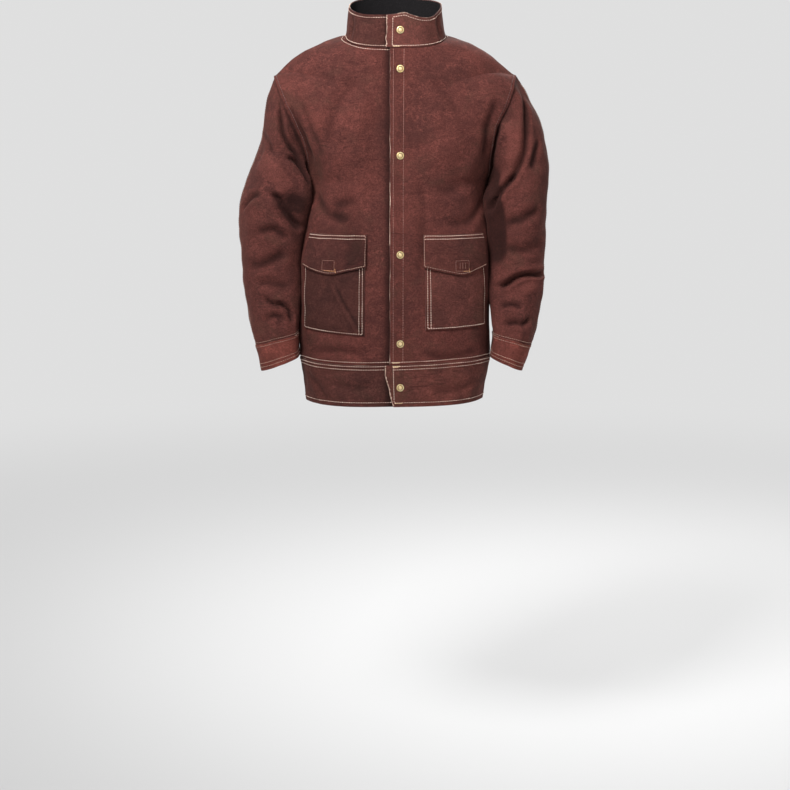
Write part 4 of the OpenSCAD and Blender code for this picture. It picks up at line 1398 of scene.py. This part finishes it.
def sleeve_rise(k, a):
    """Tucked under the body at the armhole and under the cuff; the front laps at the outer seam."""
    from_cuff = (CUFF_RING - k) * LAST_RING_PITCH
    outer_lap = lap(np.abs(a - 1) * SLEEVE_PANEL_W / 2, SLEEVE_OUTER_LAP)
    tucked = lap(k * RING_PITCH, SLEEVE_TUCK) + lap(from_cuff, SLEEVE_CUFF_TUCK)
    return np.where(a < 1, outer_lap, 0) - tucked


def cuff_rise(k, a):
    return lap((k - CUFF_RING) * RING_PITCH, CUFF_LAP) + 0.0 * a


SLEEVES, CUFFS = ({side: Hide(f"{side}_sleeve", rise) for side in ("left", "right")}
                  for rise in (sleeve_rise, cuff_rise))


def make_sleeve(side, way):
    rings = edged(CUFF_RING - 0.004, 0.0, RINGS, (0.015, 0.05, 0.1))
    for half, (a, b) in (("front", (0.001, 0.999)), ("back", (1.001, 1.999))):
        cols = edged(a, b, SLEEVE_COLS, (0.006, 0.016))[::way]
        obj = make_hide(f"{side}_sleeve_{half}_hide", [(SLEEVES[side], rings, cols)], SLEEVE_WALL,
                        leather(SLEEVE_SUEDE),
                        grain=(0.2 * way, 0.15 * way, 0.4))
        sleeve_blend(obj, way)
        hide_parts(f"{side}_sleeve_{half}")
    rings = edged(CUFF_END, CUFF_RING + 0.006, RINGS, (0.015, 0.05))
    cols = SLEEVE_COLS[::2][::way]
    for name, materials, thickness, depth, slot in (
        ("cuff_hide", leather(CUFF_SUEDE), LEATHER, 0, "sleeve_leather"),
        ("cuff_facing_hide", FACING_SIDES, FACING, UNDER, "facing_leather"),
    ):
        obj = make_hide(f"{side}_{name}", [(CUFFS[side], rings, cols)], thickness, materials,
                        depth, (0.5 * way, 0, 0.2))
        on_body(obj, f"{side}_sleeve", f"{side}_cuff" + ("_facing" if depth else ""))


# --- stitching ---------------------------------------------------------------

STITCH, STITCH_GAP = 3.4, 1.2
STITCH_HALF_W, STITCH_HALF_H = 0.60, 0.42
RING_SHARE = np.array([-1, -0.86, -0.4, 0.4, 0.86, 1]) / 2
RING_WIDTH = np.array([0.45, 0.85, 1, 1, 0.85, 0.45])
RING_HEIGHT = np.array([-0.35, 0.05, 0.34, 0.34, 0.05, -0.35])
THREAD_SIDES = 6


def run(hide, rows, cols, points=240):
    """A seam's line: points and normals along straight parts between the given rows and columns."""
    t = np.linspace(0, 1, len(rows))
    s = np.linspace(0, 1, points)
    return hide.at(np.interp(s, t, rows), np.interp(s, t, cols))[:2]


def along_line(at, length, values):
    return np.stack([np.interp(at, length, values[:, k]) for k in range(3)], axis=2)


def stitch_run(line, rng, stitch, gap, width):
    """Vertices of every stitch along a line of points and normals."""
    points, normals = line
    steps = np.linalg.norm(np.diff(points, axis=0), axis=1)
    length = np.concatenate([[0], np.cumsum(steps)])
    count = max(int(length[-1] / ((stitch + gap) * MM)), 1)
    pitch = length[-1] / count
    middles = (np.arange(count) + 0.5) * pitch
    half = pitch * stitch / (stitch + gap) * rng.uniform(0.93, 1.03, count)
    at = middles[:, None] + RING_SHARE[None] * half[:, None]
    centre, up = along_line(at, length, points), along_line(at, length, normals)
    up /= np.linalg.norm(up, axis=2, keepdims=True)
    ahead = centre[:, -1:] - centre[:, :1]
    ahead /= np.linalg.norm(ahead, axis=2, keepdims=True)
    side = np.cross(ahead, up)
    slant = rng.uniform(-0.16, 0.16, (count, 1)) * RING_SHARE[None] * 2
    slant = slant + rng.uniform(-0.1, 0.1, (count, 1))
    centre = centre + up * (RING_HEIGHT * MM)[None, :, None] + side * (slant * MM)[..., None]
    angle = np.arange(THREAD_SIDES) * 2 * np.pi / THREAD_SIDES
    reach = (RING_WIDTH * MM)[None, :, None, None]
    flat = side[:, :, None] * np.cos(angle)[None, None, :, None] * STITCH_HALF_W * width
    tall = up[:, :, None] * np.sin(angle)[None, None, :, None] * STITCH_HALF_H * width
    return centre[:, :, None] + (flat + tall) * reach


def stitches(name, lines, seed, stitch=STITCH, gap=STITCH_GAP, width=1.0, material=THREAD):
    """One object with all the stitches of several lines: each a tube of six rings, closed by fans."""
    rng = np.random.default_rng(seed)
    v = np.concatenate([stitch_run(line, rng, stitch, gap, width) for line in lines])
    count, rings, sides = v.shape[:3]
    k = np.arange(rings * sides).reshape(rings, sides)
    nxt = np.roll(k, -1, axis=1)
    body = quads(k[:-1], nxt[:-1], nxt[1:], k[1:])
    caps = [k[0, [0, 3, 2, 1]], k[0, [0, 5, 4, 3]], k[-1, [0, 1, 2, 3]], k[-1, [0, 3, 4, 5]]]
    one = np.concatenate([body, caps])
    faces = (np.arange(count)[:, None, None] * rings * sides + one[None]).reshape(-1, 4)
    vertices = v.reshape(-1, 3)
    obj = new_object(name, vertices, faces, [material])
    write_attribute(obj, "grain", "FLOAT_VECTOR", vertices)
    return obj


def level(hide, h, a, b, points=240):
    v = height_v(h)
    return run(hide, [v, v], [a, b], points)


def overlap_stitches(name, lines, seed, *sizes, **looks):
    obj = stitches(name, lines, seed, *sizes, **looks)
    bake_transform(obj)


def torso_stitches(name, lines, seed, **looks):
    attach(stitches(name, lines, seed, **looks), "torso")


HEM_STITCH_H = 8
COLLAR_SEAM_V = 3.055


def waist_lines():
    """One line on the body and two on the band: those of the overlap, then those of the trunk."""
    over, torso = [], []
    for h, left, back, right, start_x in (
        (BAND_H + 5, LEFT_FRONT, BACK_HIDE, RIGHT_FRONT, -PLACKET_EDGE + 2),
        (BAND_H - 3, BAND_LEFT, BAND_BACK, BAND_RIGHT, -2),
        (BAND_H - 9, BAND_LEFT, BAND_BACK, BAND_RIGHT, -2),
    ):
        over.append(level(left, h, front_u(start_x), 1))
        torso += [level(back, h, 1, -1, 400), level(right, h, 1, -0.5)]
    return over, torso


def hem_lines():
    """The hem, and the upright line that holds the band's slanted end."""
    over = [level(BAND_LEFT, HEM_STITCH_H, front_u(-2), 1),
            run(BAND_LEFT, [-0.89, -0.03], [front_u(-1.5), front_u(-3.5)], 80)]
    torso = [level(BAND_BACK, HEM_STITCH_H, 1, -1, 400), level(BAND_RIGHT, HEM_STITCH_H, 1, -0.9)]
    return over, torso


def collar_lines():
    """The collar's top line and its seam line all round, an upright line at the overlap's end, and a
    second line on the body below the collar on the wearer's right and behind."""
    seam = [COLLAR_SEAM_V] * 2

    def top_line(hide, table, cols, points=240):
        return run(hide, collar_top(table, cols) - 0.1, cols, points)

    over = [top_line(COLLAR_LEFT, COLLAR_TOP_LEFT, np.linspace(front_u(-4), 1, 40)),
            run(COLLAR_LEFT, seam, [front_u(-5), 1]),
            run(COLLAR_LEFT, [COLLAR_SEAM_V, 4.03], [front_u(-5), front_u(-4)], 80)]
    torso = [top_line(COLLAR_BACK, COLLAR_TOP_BACK, np.linspace(1, -1, 60), 300),
             run(COLLAR_BACK, seam, [1, -1], 300),
             top_line(COLLAR_RIGHT, COLLAR_TOP_RIGHT, np.linspace(1, -0.75, 60)),
             run(COLLAR_RIGHT, seam, [1, -0.7]),
             run(RIGHT_FRONT, [2.945, 2.945], [1, -0.4]),
             run(BACK_HIDE, [2.955, 2.955], [1, -1], 300)]
    return over, torso


def tonal_lines():
    """Side seams and armholes are top-stitched in the leather's own colour."""
    lines = []
    for way, front in ((1, LEFT_FRONT), (-1, RIGHT_FRONT)):
        lines += [run(BACK_HIDE, [0.02, 0.98], [0.965 * way, 0.965 * way], 300),
                  run(BACK_HIDE, [1.02, 1.97], [0.968 * way, 0.968 * way], 300),
                  run(front, [1.02, 1.97], [0.968, 0.968], 300)]
    return lines


def bar_tack_lines():
    """Bright tacks across the placket's foot, the band's corner and the collar's corner."""
    tacks = [run(COLLAR_LEFT, [3.03, 3.03], [front_u(-3), front_u(9)], 40)]
    for hide, h, start_x, end_x in (
        (LEFT_FRONT, BAND_H + 4, -5, 9), (BAND_LEFT, BAND_H - 2.5, -5, 10),
        (BAND_LEFT, BAND_H - 4.5, -4, 7), (BAND_LEFT, HEM_STITCH_H - 1, -1, 14),
    ):
        tacks.append(level(hide, h, front_u(start_x), front_u(end_x), 40))
    return tacks


def make_trunk_stitches():
    # Placket: one line beside its free edge, one beside the fold
    placket = [run(LEFT_FRONT, [0.01, 2.97], [front_u(x), front_u(x + lean)], 700)
               for x, lean in ((-3.5, 0.5), (15, 2))]
    seams = waist_lines(), hem_lines(), collar_lines()
    over, torso = (sum(lines, []) for lines in zip(*seams))
    overlap_stitches("placket_stitching", placket, 14, width=0.72, material=PLACKET_THREAD)
    overlap_stitches("bar_tack_stitching", bar_tack_lines(), 15, 3.2, 0.4, 1.25, TACK_THREAD)
    torso_stitches("tonal_stitching_body", tonal_lines(), 11, width=0.85, material=DARK_THREAD)
    overlap_stitches("overlap_stitching", over, 12)
    torso_stitches("body_stitching", torso, 13)


def flap_stitches(kind, side, lines, seed, *sizes, **looks):
    obj = stitches(f"{side}_{kind}", lines, seed + (side == "right"), *sizes, **looks)
    flap_blend(obj)


def make_patch_stitches(side, way, flap, wide):
    """The stitched box over the hook-and-loop patch. wide is the millimetres per unit of column."""
    left, right = POCKET_MIDDLE - 12.5 / wide, POCKET_MIDDLE + 12.5 / wide
    low, high = height_v(TAPE_MID_H - 9.5), height_v(TAPE_MID_H + 9.5)
    lines = [run(flap, [low, low, high, high, low], [left, right, right, left, left], 400)]
    if side == "left":
        for share in (0.3, 0.5, 0.7):
            column = lerp(left, right, share)
            lines.append(run(flap, [lerp(low, high, 0.2), lerp(low, high, 0.8)], [column, column], 60))
    flap_stitches("patch_stitching", side, lines, 25, 3.0, 0.5, 0.8, RUST_THREAD)
    # A last run of bright thread along the box's lower side, with its end hanging out
    near, far = (left, right)[::way]
    start = lerp(near, far, 0.55 if side == "left" else 0.15)
    tail = [run(flap, [low - 0.002, low - 0.003], [start, far + 3 * way / wide], 60),
            run(flap, [low + 0.012, low - 0.014], [far + way / wide, far + 2.5 * way / wide], 30)]
    flap_stitches("patch_thread_end", side, tail, 27, 3.0, 0.4, 0.75, AMBER_THREAD)


def make_pocket_stitches(side, way):
    pocket, flap = POCKETS[side], FLAPS[side]
    wide = pocket.scale(height_v(250), 0.4)[1]
    inner, outer = POCKET_FROM + 3.5 / wide, POCKET_TO - 3.5 / wide
    low, low_outer = (height_v(pocket_bottom(side, u) + 3.5) for u in (inner, outer))
    top = height_v(FLAP_TOP_H - 12)
    second = inner + 4.5 / wide
    lines = [
        run(pocket, [top, low], [inner, inner]),
        run(pocket, [top - 0.02, low], [second, second + 0.45 / wide]),
        run(pocket, [low, low_outer], [inner, outer]),
        run(pocket, [low_outer, height_v(FLAP_TOP_H - FLAP_SIDE_H)], [outer, outer]),
    ]
    torso_stitches(f"{side}_pocket_stitching", lines, 21 + (side == "right"), width=1.1)
    # The flap's seam: two rows close below its upper edge, and one along its lower edge
    a, b = POCKET_FROM - FLAP_MARGIN + 0.006, POCKET_TO + FLAP_MARGIN - 0.006
    cols = np.linspace(a, b, 60)
    edge = height_v(FLAP_TOP_H - flap_fall(cols) + 3.2)
    seam = [level(flap, FLAP_TOP_H - 3, a, b), level(flap, FLAP_TOP_H - 9, a, b)]
    hem = [run(flap, edge, cols), run(flap, [height_v(FLAP_TOP_H - 3), edge[0]], [a, a], 80)]
    flap_stitches("flap_seam_stitching", side, seam, 23, width=1.15)
    flap_stitches("flap_hem_stitching", side, hem, 29, width=0.85, material=CUFF_THREAD)
    make_patch_stitches(side, way, flap, wide)


def make_sleeve_stitches(side, way):
    sleeve, cuff = SLEEVES[side], CUFFS[side]
    end, later = CUFF_RING, side == "right"
    lines = [run(sleeve, [end - 0.07, end - 0.07], [0, 2], 400)]
    lines += [run(cuff, [k, k], [0, 2], 400) for k in (end + 0.09, end + 0.72, end + 0.86)]
    lines.append(run(sleeve, [0.3, end / 2, end - 0.15], [0.955, 0.94, 0.925], 700))
    quiet = [run(sleeve, [0.2, end - 0.15], [0.985, 0.985], 700)]
    obj = stitches(f"{side}_sleeve_stitching", lines, 31 + later, 2.8, 1.5, 0.9, CUFF_THREAD)
    sleeve_blend(obj, way)
    obj = stitches(f"{side}_sleeve_tonal_stitching", quiet, 33 + later, width=0.85, material=DARK_THREAD)
    sleeve_blend(obj, way)


# --- raw edges ---------------------------------------------------------------

EDGE_LIFT, EDGE_T = 0.12, 0.3


def edge_strip(name, hide, rows, cols, inward, seed, width, material=RAW_EDGE):
    """An uneven line of fibre along a cut edge of the overlap. inward is the (row, column) step per
    millimetre."""
    points = 420
    t = np.linspace(0, 1, len(rows))
    s = np.linspace(0, 1, points)
    v, u = np.interp(s, t, rows), np.interp(s, t, cols)
    uneven = np.array([noise.noise(Vector((seed, x * 46, 1.7))) for x in s])
    broad = np.clip(0.55 + 1.1 * uneven, 0.12, 1.3) * width
    across = np.stack([np.full(points, -0.25), broad])
    grid_v = v[None] + across * inward[0]
    grid_u = u[None] + across * inward[1]
    outer, normals, _ = hide.at(grid_v, grid_u, EDGE_LIFT)
    facing = np.cross(outer[0, 1] - outer[0, 0], outer[1, 0] - outer[0, 0])
    if np.dot(facing, normals[0, 0]) < 0:
        outer, normals = outer[::-1], normals[::-1]
    obj = shell(name, outer, normals, EDGE_T, [material] * 3, grain=(0, 0, seed))
    on_overlap(obj, "thread")


def make_raw_edges():
    per_mm = 1 / (FOLD_X + BAND_EDGE_TOP)
    inward = (0, per_mm)
    rows = np.linspace(0.005, 2.99, 300)
    cols = front_u(-PLACKET_EDGE) + placket_wander(rows)
    edge_strip("placket_raw_edge", LEFT_FRONT, rows, cols, inward, 3.1, 0.8)
    cols = np.linspace(front_u(-COLLAR_EDGE), 1, 60)
    tops = collar_top(COLLAR_TOP_LEFT, cols)
    edge_strip("collar_raw_edge", COLLAR_LEFT, tops, cols, (-1 / COLLAR_H, 0), 5.3, 1.5)
    rows = np.linspace(3.01, 4.13, 60)
    cols = front_u(-COLLAR_EDGE) + collar_wander(rows)
    edge_strip("collar_end_raw_edge", COLLAR_LEFT, rows, cols, inward, 7.7, 1.5, BARE_EDGE)
    rows = np.linspace(-0.995, -0.01, 60)
    edge_strip("hem_band_raw_edge", BAND_LEFT, rows, band_end(rows), inward, 9.4, 1.9, BARE_EDGE)


# --- snaps -------------------------------------------------------------------

def finish_snaps():
    for name in ("snap_caps", "snap_sockets", "snap_studs", "snap_posts"):
        obj = frame["nodes"][name]
        obj.data.materials.clear()
        obj.data.materials.append(CAP_BRASS if name == "snap_caps" else BRASS)


# --- camera, lights and stage ------------------------------------------------

FLOOR_Z = -1.5
PALE = 0.74


def make_stage():
    """A pale floor whose rim glows as evenly as the sky, so that no edge of it shows."""
    bpy.ops.mesh.primitive_circle_add(vertices=96, radius=14, fill_type="NGON",
                                      location=(0, 0, FLOOR_Z))
    floor = bpy.context.object
    floor.name = "floor"
    material, tree, shader = new_material("floor_paint")
    shader.inputs["Base Color"].default_value = (0.62, 0.62, 0.62, 1)
    shader.inputs["Roughness"].default_value = 0.7
    far = node(tree, "ShaderNodeEmission")
    far.inputs["Color"].default_value = (PALE, PALE, PALE, 1)
    coords = node(tree, "ShaderNodeTexCoord").outputs["Object"]
    radius = node(tree, "ShaderNodeVectorMath", operation="LENGTH")
    tree.links.new(coords, radius.inputs[0])
    fade = spread(tree, radius.outputs["Value"], 1.2, 5.0)
    join = node(tree, "ShaderNodeMixShader")
    tree.links.new(fade, join.inputs[0])
    tree.links.new(shader.outputs[0], join.inputs[1])
    tree.links.new(far.outputs[0], join.inputs[2])
    tree.links.new(join.outputs[0], tree.nodes["Material Output"].inputs["Surface"])
    floor.data.materials.append(material)


def turn_to(obj, place, aim):
    """Puts a light or camera at a place and turns it towards its aim."""
    obj.location = place
    obj.rotation_euler = (Vector(aim) - Vector(place)).to_track_quat("-Z", "Y").to_euler()


def area_light(name, place, aim, size, power, beam=math.pi):
    light = bpy.data.lights.new(name, "AREA")
    light.spread = beam
    light.shape = "RECTANGLE"
    light.size, light.size_y = size
    light.energy = power
    obj = bpy.data.objects.new(name, light)
    bpy.context.scene.collection.objects.link(obj)
    turn_to(obj, place, aim)


CHEST = (0, 0, -0.35)
CAMERA_AT = (0.0, -3.8, -0.10)
CAMERA_AIM = (0.0, 0.0, -0.695)
VIEW_ANGLE = math.radians(22.9)


def make_studio():
    scene = bpy.context.scene
    world = bpy.data.worlds.new("studio")
    scene.world = world
    world.use_nodes = True
    background = world.node_tree.nodes["Background"]
    background.inputs["Color"].default_value = (PALE, PALE, PALE, 1)
    background.inputs["Strength"].default_value = 1
    area_light("key", (-1.0, -1.9, 1.5), (0, 0, 0.05), (0.8, 0.8), 12, math.radians(50))
    area_light("fill", (2.0, -2.6, 0.4), CHEST, (1.6, 2.2), 12)
    area_light("back", (0.8, 2.3, 1.3), CHEST, (1.2, 1.2), 60)
    camera = bpy.data.cameras.new("camera")
    camera.lens = camera.sensor_width / 2 / math.tan(VIEW_ANGLE / 2)
    obj = bpy.data.objects.new("camera", camera)
    scene.collection.objects.link(obj)
    turn_to(obj, CAMERA_AT, CAMERA_AIM)
    scene.camera = obj
    scene.view_settings.view_transform = "Standard"
    scene.view_settings.look = "None"


make_studio()
make_stage()
make_body()
make_collar()
make_band()
for side, way in (("left", 1), ("right", -1)):
    make_pocket(side, way)
    make_sleeve(side, way)
    make_pocket_stitches(side, way)
    make_sleeve_stitches(side, way)
make_trunk_stitches()
make_raw_edges()
finish_snaps()
